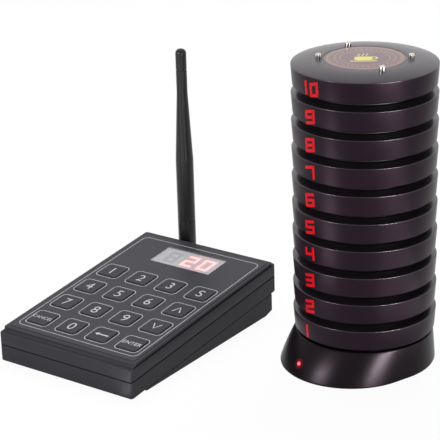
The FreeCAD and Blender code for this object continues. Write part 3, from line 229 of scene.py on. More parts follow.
# Height, radius and reach forward of the plan.
BASE_SECTIONS = ((0.0006, 0.0473, 0.0119), (0.011, 0.0466, 0.0074), (0.0225, 0.0457, 0.0006))
CUP_RADIUS, CUP_FLOOR, CUP_BEVEL = 0.041, 0.02115, 0.0006
LAMP_HEIGHT, HALO_OUT, HALO_IN = 0.009, 0.0044, 0.0010
DRIFT_SCALE, DUST_SCALE, GRAIN_SCALE, GRAIN_DEPTH = 34.0, 420.0, 2600.0, 0.00006


def turned(points, angle):
    """Points turned about the upright axis: x becomes x cos - y sin, and y
    becomes x sin + y cos."""
    c, s = math.cos(angle), math.sin(angle)
    x, y, z = np.moveaxis(points, -1, 0)
    return np.stack((x * c - y * s, x * s + y * c, z), -1)


def dressed(thing, material, body, replaces=(), crease=32):
    """Merge, smooth and finish a mesh and hang it on its body."""
    shell = bmesh.new()
    shell.from_mesh(thing.data)
    bmesh.ops.remove_doubles(shell, verts=shell.verts, dist=2e-6)
    shell.to_mesh(thing.data)
    shell.free()
    thing.data.shade_smooth()
    thing.data.set_sharp_from_angle(angle=math.radians(crease))
    thing.data.materials.clear()
    thing.data.materials.append(material)
    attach(thing, body)
    if replaces:
        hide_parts(*replaces)
    return thing


def piece(name, grids, material, body, replaces=()):
    """One object from grids of points.  Each cell of a grid is a face, the last
    column joins the first, and points that coincide are merged."""
    points, faces, first = [], [], 0
    for grid in grids:
        rows, columns = grid.shape[:2]
        index = first + np.arange(rows * columns).reshape(rows, columns)
        beside = np.roll(index, -1, axis=1)
        cells = np.stack((index[:-1], beside[:-1], beside[1:], index[1:]), -1)
        points.append(grid.reshape(-1, 3))
        faces.extend(cells.reshape(-1, 4).tolist())
        first += rows * columns
    thing = mesh_object(name, np.concatenate(points), faces)
    return dressed(thing, material, body, replaces)


def repaint(material, *names):
    """Give CAD nodes, whose meshes stay as they are, a material."""
    for name in names:
        nodes[name].data.materials.clear()
        nodes[name].data.materials.append(material)


def finish(name, values):
    """New Principled material with its uniform values, and its shader and the
    place on the piece, in Object coordinates."""
    material = bpy.data.materials.new(name)
    material.use_nodes = True
    shader = material.node_tree.nodes["Principled BSDF"]
    for socket, value in values.items():
        shader.inputs[socket].default_value = value
    place = Wire(material.node_tree).add("ShaderNodeTexCoord", output="Object")
    return material, shader, place


def clouds(place, scale, detail):
    """Noise over a place, finer with a greater scale."""
    return place.add("ShaderNodeTexNoise", {"Vector": place, "Scale": scale, "Detail": detail})


def distance(place, point):
    """How far a place is from a point."""
    sockets = {0: place, 1: tuple(point)}
    return place.add("ShaderNodeVectorMath", sockets, 1, operation="DISTANCE")


def shade(colour, share):
    """A colour times a share."""
    return tuple(channel * share for channel in colour)


def grained(place, shader, strength):
    """Fine grain in a moulding's skin, as bumps."""
    height = clouds(place, GRAIN_SCALE, 2.0)
    bump = {"Height": height, "Strength": strength, "Distance": GRAIN_DEPTH}
    place.add("ShaderNodeBump", bump).feed(shader, "Normal")


def moulded(name, colour, roughness, grain=0.0, specular=0.5):
    """Moulded plastic: a slow drift of tone and gloss, and a fine grain."""
    material, shader, place = finish(name, {"Specular IOR Level": specular})
    drift = clouds(place, DRIFT_SCALE, 3.0)
    tone = drift.blend(shade(colour, 0.86), shade(colour, 1.14))
    tone.feed(shader, "Base Color")
    dust = clouds(place, DUST_SCALE, 4.0)
    (drift * 0.05 + dust * 0.06 + (roughness - 0.055)).feed(shader, "Roughness")
    if grain:
        grained(place, shader, grain)
    return material, shader, place, tone


def egg_ring(radius, reach, inset, height, half=36, flank=4):
    """Plan of the base at one height: a half circle about the axis, a half
    circle reach ahead of it, and straight flanks between."""
    radius = radius - inset
    rear = np.linspace(0, np.pi, half + 1)
    front = rear + np.pi
    slide = np.linspace(0, -reach, flank + 2)[1:-1]
    left, beside = 0 * slide - radius, 0 * slide + radius
    x = np.concatenate((radius * np.cos(rear), left, radius * np.cos(front), beside))
    y = np.concatenate(
        (radius * np.sin(rear), slide, radius * np.sin(front) - reach, slide[::-1])
    )
    return np.stack((x, y, 0 * x + height), -1)


def base_section(height):
    """Radius and reach of the plan at a height: the curve of the second degree
    through the three sections of the moulding."""
    levels, radii, reaches = np.array(BASE_SECTIONS).T
    radius = np.polyval(np.polyfit(levels, radii, 2), height)
    reach = np.polyval(np.polyfit(levels, reaches, 2), height)
    return radius, reach


def base_rows():
    """Outside of the base from the foot to the cup's middle: egg shaped plans
    up to the brim, then circles through the same bearings down into the cup."""
    foot, top = BASE_SECTIONS[0][0], BASE_SECTIONS[-1][0]
    rows = []
    for inset, lift in ((0.0040, 0.0), (0.0007, 0.0), (0.0002, 0.0001), (0.0, 0.0005)):
        rows.append(egg_ring(*base_section(foot + lift), inset, foot + lift))
    for height in np.linspace(foot + 0.0012, top - 0.0006, 22):
        rows.append(egg_ring(*base_section(height), 0.0, height))
    for inset, drop in ((0.00003, 0.0004), (0.00018, 0.00012), (0.00045, 0.0)):
        rows.append(egg_ring(*base_section(top - drop), inset, top - drop))
    bearing = np.arctan2(rows[-1][:, 1], rows[-1][:, 0])
    for radius, height in (
        (CUP_RADIUS + CUP_BEVEL, top),
        (CUP_RADIUS + CUP_BEVEL * 0.7, top - CUP_BEVEL * 0.15),
        (CUP_RADIUS, top - CUP_BEVEL),
        (CUP_RADIUS, CUP_FLOOR + 0.0003),
        (CUP_RADIUS - 0.0003, CUP_FLOOR),
        (CUP_RADIUS - 0.002, CUP_FLOOR),
        (0.0, CUP_FLOOR),
    ):
        x, y = radius * np.cos(bearing), radius * np.sin(bearing)
        rows.append(np.stack((x, y, 0 * bearing + height), -1))
    return np.stack(rows)


lamp_radius, lamp_reach = base_section(LAMP_HEIGHT)
LAMP_PLACE = turned(np.array((0.0, -lamp_radius - lamp_reach, LAMP_HEIGHT)), BASE_TURN)
base_plastic, base_shader, base_place, _ = moulded(
    "polished_base", (0.0056, 0.0038, 0.0054), 0.30, grain=0.04, specular=0.10
)
base_shader.inputs["Specular Tint"].default_value = (1.0, 0.80, 0.94, 1.0)
# Painted light: the status lamp's red glow on the moulding round it, an emission that fades with
# distance from the lamp.
base_shader.inputs["Emission Strength"].default_value = 1.0
painted_lamp_glow = distance(base_place, LAMP_PLACE).band(HALO_OUT, HALO_IN)
painted_lamp_glow.blend((0.0, 0.0, 0.0), (0.20, 0.004, 0.010)).feed(base_shader, "Emission Color")
piece(
    "charging_base",
    [turned(base_rows(), BASE_TURN)],
    base_plastic,
    "charger",
    replaces=("charger_housing",),
)
repaint(base_plastic, "charger_bottom_plate")

# ------------------------------------------------------------- status lamp
# A clear red light pipe with a domed end, pressed into the front of the nose
# square to its slope and lit from the board behind.

LAMP_RADIUS, LAMP_PROUD, LAMP_SUNK, LAMP_TILT = 0.0016, 0.0004, 0.0042, math.radians(25.0)


def spun(profile, segments=96):
    """Solid of revolution: every (radius, height) of the profile goes round the
    upright axis, x = radius cos angle, y = radius sin angle."""
    angle = np.arange(segments) * 2 * np.pi / segments
    radius, height = profile[:, :1], profile[:, 1:]
    return np.stack(
        (radius * np.cos(angle), radius * np.sin(angle), height + 0 * angle), axis=-1
    )


def aimed(points, place, direction):
    """Points whose own up axis is turned to a direction and set at a place."""
    spin = Vector((0, 0, 1)).rotation_difference(Vector(direction)).to_matrix()
    return points @ np.array(spin).T + np.array(place)


red_pipe, pipe_shader, pipe_place = finish(
    "red_light_pipe", {"Roughness": 0.18, "Emission Strength": 1.0}
)
heart = distance(pipe_place, LAMP_PLACE).band(LAMP_RADIUS, 0.0003)
heart.blend((0.62, 0.012, 0.035), (0.80, 0.05, 0.08)).feed(pipe_shader, "Base Color")
heart.blend((0.55, 0.010, 0.030), (1.0, 0.22, 0.26)).feed(pipe_shader, "Emission Color")
dome_end = [
    (LAMP_RADIUS * math.cos(a), LAMP_PROUD * math.sin(a)) for a in np.linspace(0, math.pi / 2, 9)
]
pipe_profile = np.array([(0.0, -LAMP_SUNK), (LAMP_RADIUS, -LAMP_SUNK)] + dome_end)
lamp_direction = turned(np.array((0.0, -math.cos(LAMP_TILT), math.sin(LAMP_TILT))), BASE_TURN)
piece(
    "status_light_pipe",
    [aimed(spun(pipe_profile, 40), LAMP_PLACE, lamp_direction)],
    red_pipe,
    "charger",
    replaces=("charger_status_lamp",),
)

# -------------------------------------------------------- charger contacts
# Four nickel plated pins that stand up through the cup's floor, each with a
# rounded head, on the same rectangle as the pins of every pager.

STACK_TURN = math.radians(-3.5)
CONTACT_REACH, CONTACT_BEARING, CONTACT_RADIUS = 0.02955, math.radians(33.7), 0.0021
CONTACT_ACROSS = CONTACT_REACH * math.cos(CONTACT_BEARING)
CONTACT_ALONG = CONTACT_REACH * math.sin(CONTACT_BEARING)
CONTACTS = [(x * CONTACT_ACROSS, y * CONTACT_ALONG) for x in (1, -1) for y in (x, -x)]


def rounded(corners, step=12):
    """Polyline through (across, up, radius) corners.

    Each corner with a radius gives way to the arc of that radius that touches
    both of its sides, in points about step degrees apart.
    """
    line = []
    for index, (x, z, radius) in enumerate(corners):
        corner = np.array((x, z))
        if radius == 0 or index in (0, len(corners) - 1):
            line.append(corner)
            continue
        before = np.array(corners[index - 1][:2]) - corner
        after = np.array(corners[index + 1][:2]) - corner
        before, after = before / np.linalg.norm(before), after / np.linalg.norm(after)
        half = math.acos(float(np.clip(before @ after, -1, 1))) / 2
        inward = (before + after) / np.linalg.norm(before + after)
        centre = corner + inward * radius / math.sin(half)
        start = corner + before * radius / math.tan(half) - centre
        sweep = math.pi - 2 * half
        if start[0] * before[1] - start[1] * before[0] > 0:
            sweep = -sweep
        steps = max(2, math.ceil(abs(math.degrees(sweep)) / step))
        angle = np.linspace(0, sweep, steps + 1)
        across = start[0] * np.cos(angle) - start[1] * np.sin(angle)
        up = start[0] * np.sin(angle) + start[1] * np.cos(angle)
        line.extend(centre + np.stack((across, up), -1))
    return np.array(line)


def plated(name, colour, roughness):
    """Plated metal with a faint brushed drift."""
    material, shader, place = finish(name, {"Metallic": 1.0})
    wear = clouds(place, 900.0, 3.0)
    tone = wear.blend(shade(colour, 0.85), colour)
    tone.feed(shader, "Base Color")
    (wear * 0.16 + (roughness - 0.08)).feed(shader, "Roughness")
    return material, shader, place, tone


def pins(bottom, top):
    """Four upright pins: a straight shaft with a rounded head, turned with the
    stack."""
    profile = rounded(
        [
            (0.0, bottom, 0),
            (CONTACT_RADIUS, bottom, 0),
            (CONTACT_RADIUS, top, 0.0013),
            (0.0, top, 0),
        ],
        step=15,
    )
    return [turned(spun(profile, 28) + (x, y, 0.0), STACK_TURN) for x, y in CONTACTS]


nickel = plated("nickel_plate", (0.86, 0.82, 0.78), 0.22)[0]
piece(
    "charging_pins",
    pins(0.0058, 0.02475),
    nickel,
    "charger",
    replaces=("charger_contacts",),
)

# ------------------------------------------------------------ pager shells
# Ten identical coasters of satin plastic, each a domed cap with a drafted rim
# pressed over a flat base plate, whose foot ring nests on the dome below.

PAGERS = 10
STACK_BASE, PITCH = 0.024, 0.0186
STACK = [(f"pager_{n:02d}", STACK_BASE + (n - 1) * PITCH) for n in range(1, PAGERS + 1)]
RIM_HEIGHT, DOME_RISE = 0.0138, 0.0026
PAGER_RADIUS, FOOT_RADIUS = 0.0475, 0.0465
LABEL_RADIUS, DOME_LAND, LABEL_SINK = 0.0268, 0.0274, 0.0003
RING_OUT, RING_IN, RING_DROP = 0.040, 0.0375, 0.0027
TRACK_OUT, TRACK_IN, TRACK_DEPTH = 0.0330, 0.0262, 0.0009
WALL = 0.002
CROWN = RIM_HEIGHT + DOME_RISE
LABEL_TOP = CROWN - LABEL_SINK


def dome(steps=14):
    """Arc of the dome from the rim to the label's land, level at the land."""
    run = PAGER_RADIUS - DOME_LAND
    bow = (run**2 + DOME_RISE**2) / (2 * DOME_RISE)
    out = np.linspace(run, 0, steps + 1)
    return DOME_LAND + out, CROWN - bow + np.sqrt(bow**2 - out**2)


def cap_profile():
    """Closed section of the cap: rim, dome, label recess, then back inside."""
    across, up = dome()
    edge = [
        (FOOT_RADIUS - WALL, 0.0, 0.0003),
        (FOOT_RADIUS - 0.0008, 0.0, 0.0004),
        (FOOT_RADIUS + 0.00006, 0.0008, 0.0005),
        (across[0], up[0], 0.00045),
    ]
    top = [(x, z, 0.0) for x, z in zip(across[2:], up[2:])]
    inside = [
        (LABEL_RADIUS, CROWN, 0.00012),
        (LABEL_RADIUS, LABEL_TOP, 0.0),
        (0.0, LABEL_TOP, 0.0),
        (0.0, LABEL_TOP - WALL, 0.0),
        (DOME_LAND, LABEL_TOP - WALL, 0.0),
        (FOOT_RADIUS - WALL, RIM_HEIGHT - WALL, 0.0),
        (FOOT_RADIUS - WALL, 0.0, 0.0),
    ]
    return rounded(edge + top + inside)


def plate_profile():
    """Closed section of the base plate with its foot ring and the shallow
    track over the pins of the pager below."""
    plate = FOOT_RADIUS - WALL - 0.0001
    return rounded(
        [
            (0.0, 0.0, 0.0),
            (TRACK_IN, 0.0, 0.0002),
            (TRACK_IN, TRACK_DEPTH, 0.0002),
            (TRACK_OUT, TRACK_DEPTH, 0.0002),
            (TRACK_OUT, 0.0, 0.0002),
            (RING_IN, 0.0, 0.0003),
            (RING_IN, -RING_DROP, 0.0004),
            (RING_OUT, -RING_DROP, 0.0004),
            (RING_OUT, 0.0, 0.0003),
            (plate, 0.0, 0.0003),
            (plate, WALL, 0.0),
            (0.0, WALL, 0.0),
        ]
    )


def axes(vector):
    """The x, y and z of a vector."""
    split = vector.add("ShaderNodeSeparateXYZ", {"Vector": vector})
    return [Wire(vector.tree, output) for output in split.socket.node.outputs]


def pager_plastic(name):
    """Satin aubergine rim under a dome with a clear gloss, told apart by height."""
    values = {
        "Specular IOR Level": 0.12,
        "Specular Tint": (1.0, 0.66, 0.92, 1.0),
        "Coat Roughness": 0.24,
    }
    material, shader, place = finish(name, values)
    height = (axes(place)[2] - STACK_BASE).maths("MODULO", PITCH)
    top = height.band(RIM_HEIGHT - 0.0006, RIM_HEIGHT - 0.0002)
    drift = clouds(place, 30.0, 3.0)
    rim = drift.blend((0.0125, 0.0062, 0.0112), (0.0160, 0.0088, 0.0148))
    cover = drift.blend((0.0130, 0.0085, 0.0125), (0.0165, 0.0115, 0.0160))
    top.blend(rim, cover).feed(shader, "Base Color")
    (top * 0.62).feed(shader, "Coat Weight")
    (drift * 0.05 + 0.30).feed(shader, "Roughness")
    grained(place, shader, 0.05)
    return material


shell_plastic = pager_plastic("aubergine_shell")
dark_plastic = moulded("black_base_plate", (0.010, 0.009, 0.010), 0.42, 0.1, 0.3)[0]
for body, level in STACK:
    last = body == STACK[-1][0]
    piece(
        f"{body}_cap",
        [spun(cap_profile(), 160) + (0.0, 0.0, level)],
        shell_plastic,
        body,
        replaces=(f"{body}_top_shell",) if last else (f"{body}_case",),
    )
    piece(
        f"{body}_base_plate",
        [spun(plate_profile(), 120) + (0.0, 0.0, level)],
        dark_plastic,
        body,
        replaces=(f"{body}_bottom_shell",) if last else (),
    )

# ------------------------------------------------------------ pager labels
# A round film with a golden print, stuck into a shallow recess of the cap:
# two rings near its edge, a circle of dots, a third ring and a steaming cup.

# Radius and line width of each ring.
GOLD_RINGS = ((0.0242, 0.0007), (0.0228, 0.0004), (0.0160, 0.0005))
DOTS, DOT_CIRCLE = 36, 0.0194
PRINT_TURN = math.radians(-33)
FILM_RADIUS, FILM_TOP = LABEL_RADIUS - 0.0004, CROWN - 0.00005


def swung(place, angle):
    """Place turned about the upright axis."""
    return place.add("ShaderNodeMapping", {"Vector": place, "Rotation": (0.0, 0.0, angle)})


def print_film(name):
    """Mauve film whose golden print is worked out from the distance to the
    axis and the bearing: rings are bands of distance, dots are bands of a
    repeated distance along the circle, the cup is a few boxes and circles."""
    material, shader, place, tone = moulded(name, (0.172, 0.128, 0.138), 0.40, specular=0.33)
    x, y, _ = axes(swung(place, PRINT_TURN))
    radius = (x * x + y * y).maths("SQRT")

    def stroke(away, width):
        """1 within width of distance 0."""
        return away.maths("ABSOLUTE").band(width * 0.62, width * 0.38)

    def box(cx, cy, half_x, half_y, corner):
        """1 inside a box with round corners."""
        dx = ((x - cx).maths("ABSOLUTE") - (half_x - corner)).maths("MAXIMUM", 0.0)
        dy = ((y - cy).maths("ABSOLUTE") - (half_y - corner)).maths("MAXIMUM", 0.0)
        return ((dx * dx + dy * dy).maths("SQRT") - corner).band(0.0001, -0.0001)

    step = 2 * math.pi / DOTS
    bearing = y.maths("ARCTAN2", x) + 2 * math.pi
    along = (bearing.maths("MODULO", step) - step / 2) * DOT_CIRCLE
    away = radius - DOT_CIRCLE
    golden = (along * along + away * away).maths("SQRT").band(0.00095, 0.00075)
    for ring, width in GOLD_RINGS:
        golden = golden.maths("MAXIMUM", stroke(radius - ring, width))

    cup = box(-0.0010, -0.0012, 0.0058, 0.0042, 0.0028)
    saucer = box(-0.0010, -0.0070, 0.0086, 0.0008, 0.0007)
    handle_x, handle_y = x - 0.0052, y + 0.0004
    handle = stroke((handle_x * handle_x + handle_y * handle_y).maths("SQRT") - 0.0026, 0.0011)
    sign = cup.maths("MAXIMUM", saucer).maths("MAXIMUM", handle)
    for shift in (-0.0036, -0.0010, 0.0016):
        wave = (y * 1400.0).maths("SINE") * 0.0005
        steam = stroke(x - shift + wave, 0.0008) * box(shift, 0.0070, 0.0016, 0.0024, 0.0004)
        sign = sign.maths("MAXIMUM", steam)
    rings = golden.blend(tone, (0.34, 0.24, 0.17))
    sign.blend(rings, (0.60, 0.53, 0.16)).feed(shader, "Base Color")
    return material


label_film = print_film("golden_label")
film_profile = rounded(
    [
        (0.0, LABEL_TOP, 0.0),
        (FILM_RADIUS, LABEL_TOP, 0.0),
        (FILM_RADIUS, FILM_TOP, 0.0001),
        (0.0, FILM_TOP, 0.0),
    ]
)
for body, level in STACK:
    piece(
        f"{body}_film",
        [spun(film_profile) + (0.0, 0.0, level)],
        label_film,
        body,
        replaces=("pager_10_label",) if body == "pager_10" else (),
    )

# ----------------------------------------------------------- pager numbers
# Red light segments behind the smoked rim: each pager shows its own number.
# A segment is a bar, mitred where it meets the next, that follows the rim's
# surface, with a weaker glow round it.

NUMBER_BEARING, NUMBER_CREEP = math.radians(256.2), math.radians(0.33)
DIGIT_HEIGHT, DIGIT_WIDTH, STROKE, RISE = 0.0094, 0.0088, 0.0019, 0.24
NUMBER_FOOT, NUMBER_LEFT = 0.0013, -0.0075
# Where the digits of these numbers start, their widths and the digits.
NUMBER_PLACES = {
    1: ((-0.0136, DIGIT_WIDTH, "1"),),
    10: ((-0.0148, DIGIT_WIDTH, "1"), (-0.0031, 0.0071, "0")),
}
DIGITS = {
    "0": "abcdef",
    "1": "bc",
    "2": "abged",
    "3": "abgcd",
    "4": "fgbc",
    "5": "afgcd",
    "6": "afgedc",
    "7": "abc",
    "8": "abcdefg",
    "9": "abcdfg",
}


def digit_bars(digit, width, height, stroke, gap, grow=0.0, along=8):
    """The lit bars of one digit, each as its left and right edge: mitred where
    two lit bars meet in a corner and square where one ends alone, shorter by
    gap at the ends and larger by grow all round."""
    w, m, h, k = width, height / 2, height, stroke
    shown = DIGITS[digit]
    mitre = {key: k if key in shown else 0 for key in "abcdef"}
    reach = {key: 0 if key in shown else k / 2 for key in "bcef"}
    near = k if "e" in shown or "f" in shown else 0
    corners = {
        "a": ((0, h), (w, h), (mitre["f"], h - k), (w - mitre["b"], h - k)),
        "b": ((w - k, m - reach["c"]), (w - k, h - mitre["a"]), (w, m - reach["c"]), (w, h)),
        "c": ((w - k, mitre["d"]), (w - k, m + reach["b"]), (w, 0), (w, m + reach["b"])),
        "d": ((mitre["e"], k), (w - mitre["c"], k), (0, 0), (w, 0)),
        "e": ((0, 0), (0, m + reach["f"]), (k, mitre["d"]), (k, m + reach["f"])),
        "f": ((0, m - reach["e"]), (0, h), (k, m - reach["e"]), (k, h - mitre["a"])),
        "g": ((near, m + k / 2), (w - k, m + k / 2), (near, m - k / 2), (w - k, m - k / 2)),
    }
    t = np.linspace(0, 1, along + 1)[:, None]
    bars = []
    for key in shown:
        edges = []
        a, b, c, d = np.array(corners[key], float)
        ahead = (b - a) / np.linalg.norm(b - a)
        side = np.array((-ahead[1], ahead[0])) * grow
        for start, end, shift in ((a, b, side), (c, d, -side)):
            start = start + ahead * (gap - grow) + shift
            end = end - ahead * (gap - grow) + shift
            edges.append(start + (end - start) * t)
        bars.append(tuple(edges))
    return bars


def strips(bars, carry):
    """Points and faces of each bar as a strip between its left and right edge,
    carried from the flat to their place."""
    points, faces, first = [], [], 0
    for left, rightward in bars:
        pair = np.stack((left, rightward))
        count = pair.shape[1]
        index = first + np.arange(2 * count).reshape(2, count)
        cells = np.stack((index[1, :-1], index[1, 1:], index[0, 1:], index[0, :-1]), -1)
        points.append(carry(pair).reshape(-1, 3))
        faces.extend(cells.tolist())
        first += 2 * count
    return np.concatenate(points), faces


def leaning_bars(number, grow):
    """Bars of a pager's whole number: every digit rises to its right by the
    share RISE, y + RISE (x - middle), and starts at its own left."""
    bars = []
    for left, width, digit in NUMBER_PLACES.get(number, ((NUMBER_LEFT, DIGIT_WIDTH, str(number)),)):
        middle = width - STROKE / 2 if digit == "1" else width / 2
        for pair in digit_bars(digit, width, DIGIT_HEIGHT, STROKE, 0.0001, grow):
            moved = []
            for edge in pair:
                x, y = edge[:, 0], edge[:, 1]
                y = y + RISE * (x - middle) + NUMBER_FOOT
                moved.append(np.stack((x + left, y), -1))
            bars.append(moved)
    return bars


def on_rim(flat, level, bearing, proud):
    """Flat digit points carried to the rim: x is an arc's length round the
    rim from a bearing, y a height above the pager's underside."""
    x, y = flat[..., 0], flat[..., 1]
    draft = (PAGER_RADIUS - FOOT_RADIUS) * (y / RIM_HEIGHT)
    radius = FOOT_RADIUS + draft + proud
    angle = bearing + x / PAGER_RADIUS
    return np.stack((radius * np.cos(angle), radius * np.sin(angle), y + level), -1)


def shining(name, colours, glows, strength, values, scale=300.0):
    """Plastic lit from behind: its colour and its glow drift between two tones."""
    material, shader, place = finish(name, {"Emission Strength": strength, **values})
    drift = clouds(place, scale, 2.0)
    drift.blend(*colours).feed(shader, "Base Color")
    drift.blend(*glows).feed(shader, "Emission Color")
    return material


red_tones = ((0.16, 0.002, 0.004), (0.22, 0.003, 0.006))
red_glows = ((0.50, 0.003, 0.008), (0.64, 0.006, 0.014))
smoked = {"Roughness": 0.3, "Specular IOR Level": 0.1}
number_red = shining("red_number_light", red_tones, red_glows, 0.85, smoked, 380.0)
number_glow = shining("red_number_glow", red_tones, red_glows, 0.16, smoked, 380.0)
for number, (body, level) in enumerate(STACK, start=1):
    bearing = NUMBER_BEARING + (number - 3.5) * NUMBER_CREEP
    for layer, (grow, proud, red) in enumerate(
        ((0.00025, 0.00003, number_glow), (0.0, 0.00006, number_red)), start=1
    ):
        points, faces = strips(
            leaning_bars(number, grow), lambda flat: on_rim(flat, level, bearing, proud)
        )
        shown = mesh_object(f"{body}_number_{layer}", points, faces)
        dressed(shown, red, body)

# ----------------------------------------------------- inside of the pagers
# Round board on four brass pads, battery, coin motor and lamp block, all shut
# in by the shells.  Only the four contact pins, which stand up from the board
# through the cap, are seen, so the works have the pins' plating, with dark
# stripes of painted shade on their sides.


def slotted_metal(name):
    """Plating with dark upright stripes of painted shade round each pin: bands
    of the sine of eight times the bearing about the pin, left out where a face looks up."""
    material, shader, place, tone = plated(name, (0.80, 0.77, 0.74), 0.20)
    x, y, _ = axes(swung(place, -STACK_TURN))
    x, y = x.maths("ABSOLUTE") - CONTACT_ACROSS, y.maths("ABSOLUTE") - CONTACT_ALONG
    painted_stripes = (y.maths("ARCTAN2", x) * 8.0).maths("SINE").band(-0.15, 0.15)
    facing = place.add("ShaderNodeNewGeometry", output="Normal")
    painted_stripes = painted_stripes * axes(facing)[2].band(0.75, 0.35)
    # Painted shade: the stripes darken the plating to near black.
    painted_stripes.blend(tone, (0.030, 0.026, 0.028)).feed(shader, "Base Color")
    return material


repaint(slotted_metal("pins_painted_stripes"), *(f"{body}_works" for body, _ in STACK))

# -------------------------------------------------------------- keypad case
# Two charcoal mouldings, screwed together from below, with a shadow gap all
# round.  The face stands proud of a shoulder and carries the printed overlay.

KEYPAD_X, KEYPAD_Y, FOOT = -0.1463, -0.1379, 0.0006
TILT = math.radians(5.3)
CASE_HALF, CASE_LENGTH, CASE_HEIGHT, CASE_CORNER = 0.0566, 0.1679, 0.0229, 0.0024
SEAM_LEVEL, EDGE = 0.0124, 0.0004
SHOULDER, SHOULDER_SIDE, SHOULDER_FRONT, SHOULDER_REAR = 0.0206, 0.00045, 0.0044, 0.00305
OVERLAY_SIDE, OVERLAY_FRONT, OVERLAY_REAR = 0.00325, 0.00775, 0.00665
FILM, OVERLAY_TOP = 0.0005, CASE_HEIGHT + 0.0003
KEY_PITCH, KEY_ROW, KEY_WIDTH, KEY_DEPTH, KEY_CORNER = 0.02565, 0.0252, 0.0162, 0.0156, 0.0022
KEY_GAP, KEYS_ACROSS, KEYS_DEEP = 0.0003, 4, 4
KEY_PLACES = [
    (KEY_PITCH * (column - (KEYS_ACROSS - 1) / 2), KEY_ROW + KEY_PITCH * row)
    for row in range(KEYS_DEEP)
    for column in range(KEYS_ACROSS)
]
LEFT, RIGHT, NEAR, FAR = -0.026, 0.026, 0.1284, 0.152


def on_case(points):
    """Points of the keypad's own frame, turned up by TILT about its front edge
    and set on the counter."""
    x, y, z = np.moveaxis(np.asarray(points, float), -1, 0)
    c, s = math.cos(TILT), math.sin(TILT)
    return np.stack((KEYPAD_X + x, KEYPAD_Y + y * c - z * s, FOOT + y * s + z * c), -1)


def round_box(left, right, front, rear, corner, height, steps=8):
    """Ring of points on a rectangle with round corners, at one height: a
    quarter circle about each corner's own centre."""
    corner = np.maximum(corner, 1e-5)
    quarter = np.linspace(0, np.pi / 2, steps + 1)
    ring = []
    for count, (x, y) in enumerate(
        (
            (right - corner, rear - corner),
            (left + corner, rear - corner),
            (left + corner, front + corner),
            (right - corner, front + corner),
        )
    ):
        turn = quarter + count * np.pi / 2
        arc = (x + corner * np.cos(turn), y + corner * np.sin(turn), 0 * turn + height)
        ring.append(np.stack(arc, -1))
    return np.concatenate(ring)


def case_ring(side, front, rear, corner, height):
    """Ring inside the case by three insets, at one height or at a height for
    each of side, front and rear.  The end walls are plumb on the sloping case,
    so a ring slides to the rear with its height."""
    flank, near, far = np.broadcast_to(height, 3)
    ring = round_box(side - CASE_HALF, CASE_HALF - side, front, CASE_LENGTH - rear, corner, 0.0)
    turn = np.linspace(0, 1, len(ring) // 4)
    share = np.concatenate((turn, turn[::-1], turn, turn[::-1]))
    end = np.where(np.arange(len(ring)) < len(ring) // 2, far, near)
    ring[:, 2] = flank + (end - flank) * share
    ring[:, 1] += math.tan(TILT) * (ring[:, 2] - CASE_HEIGHT)
    return ring


def overlay_ring(inset, corner, height):
    """Ring inside the overlay's outline."""
    insets = (OVERLAY_SIDE + inset, OVERLAY_FRONT + inset, OVERLAY_REAR + inset)
    return case_ring(*insets, corner, height)


def top_cover_rows():
    """Section of the upper moulding: wall, lip, channel below the raised face,
    the face with the overlay's recess, and back down inside to the seam."""
    edge = [
        (EDGE * (1 - math.cos(a)), EDGE * (1 - math.sin(a))) for a in np.linspace(0, np.pi / 2, 6)
    ]
    # Inset and height above the shoulder of the side, the front and the rear.
    channel = (
        (0.0007, -0.0001, 0.0010, 0.0, 0.0012, 0.0),
        (0.0012, -0.0001, 0.0018, -0.0006, 0.0020, 0.0),
        (0.0013, 0.0003, 0.0028, -0.0008, 0.0026, 0.0),
        (0.0010, 0.0008, 0.0037, -0.0004, SHOULDER_REAR, 0.0001),
        (SHOULDER_SIDE, 0.0012, 0.0042, 0.0004, SHOULDER_REAR, 0.0006),
        (SHOULDER_SIDE, 0.0014, SHOULDER_FRONT, 0.0012, SHOULDER_REAR, 0.0012),
    )
    walls = [
        (0.0012, SEAM_LEVEL),
        (0.0002, SEAM_LEVEL),
        (0.00005, SEAM_LEVEL + 0.00006),
        (0.0, SEAM_LEVEL + 0.0002),
        (0.0, SHOULDER - 0.0008),
        *((inset, SHOULDER - drop) for inset, drop in edge),
    ]
    rows = [case_ring(i, i, i, CASE_CORNER - i, height) for i, height in walls]
    for side, up, front, ahead, rear, behind in channel:
        heights = SHOULDER + np.array((up, ahead, behind))
        rows.append(case_ring(side, front, rear, CASE_CORNER - side, heights))
    for inset, drop in edge:
        corner = CASE_CORNER - SHOULDER_SIDE - inset
        insets = (SHOULDER_SIDE + inset, SHOULDER_FRONT + inset, SHOULDER_REAR + inset)
        rows.append(case_ring(*insets, corner, CASE_HEIGHT - drop))
    for inset, drop in ((0.0, 0.0), (0.0, 0.0002), (0.0012, 0.0002), (0.0012, 0.0022)):
        rows.append(overlay_ring(inset, 0.002 - inset, CASE_HEIGHT - drop))
    for inset, corner, height in (
        (0.0024, 0.0008, SHOULDER - 0.0022),
        (0.0024, 0.0008, SEAM_LEVEL + 0.0015),
        (0.0012, CASE_CORNER - 0.0012, SEAM_LEVEL + 0.0015),
        (0.0012, CASE_CORNER - 0.0012, SEAM_LEVEL),
    ):
        rows.append(case_ring(inset, inset, inset, corner, height))
    return np.stack(rows)


def drawn_on_case(name, curve, place, centred=False):
    """Mesh of a flat curve, shifted to a place of the keypad's own frame, with
    its middle there if it is centred, and carried to the case."""
    drawn = bpy.data.objects.new(name, curve)
    mesh = bpy.data.meshes.new_from_object(drawn)
    bpy.data.objects.remove(drawn)
    points = np.empty(len(mesh.vertices) * 3)
    mesh.vertices.foreach_get("co", points)
    points = points.reshape(-1, 3)
    if centred:
        points = points - (points.min(0) + points.max(0)) / 2
    mesh.vertices.foreach_set("co", on_case(points + place).ravel())
    thing = bpy.data.objects.new(name, mesh)
    scene.collection.objects.link(thing)
    return thing


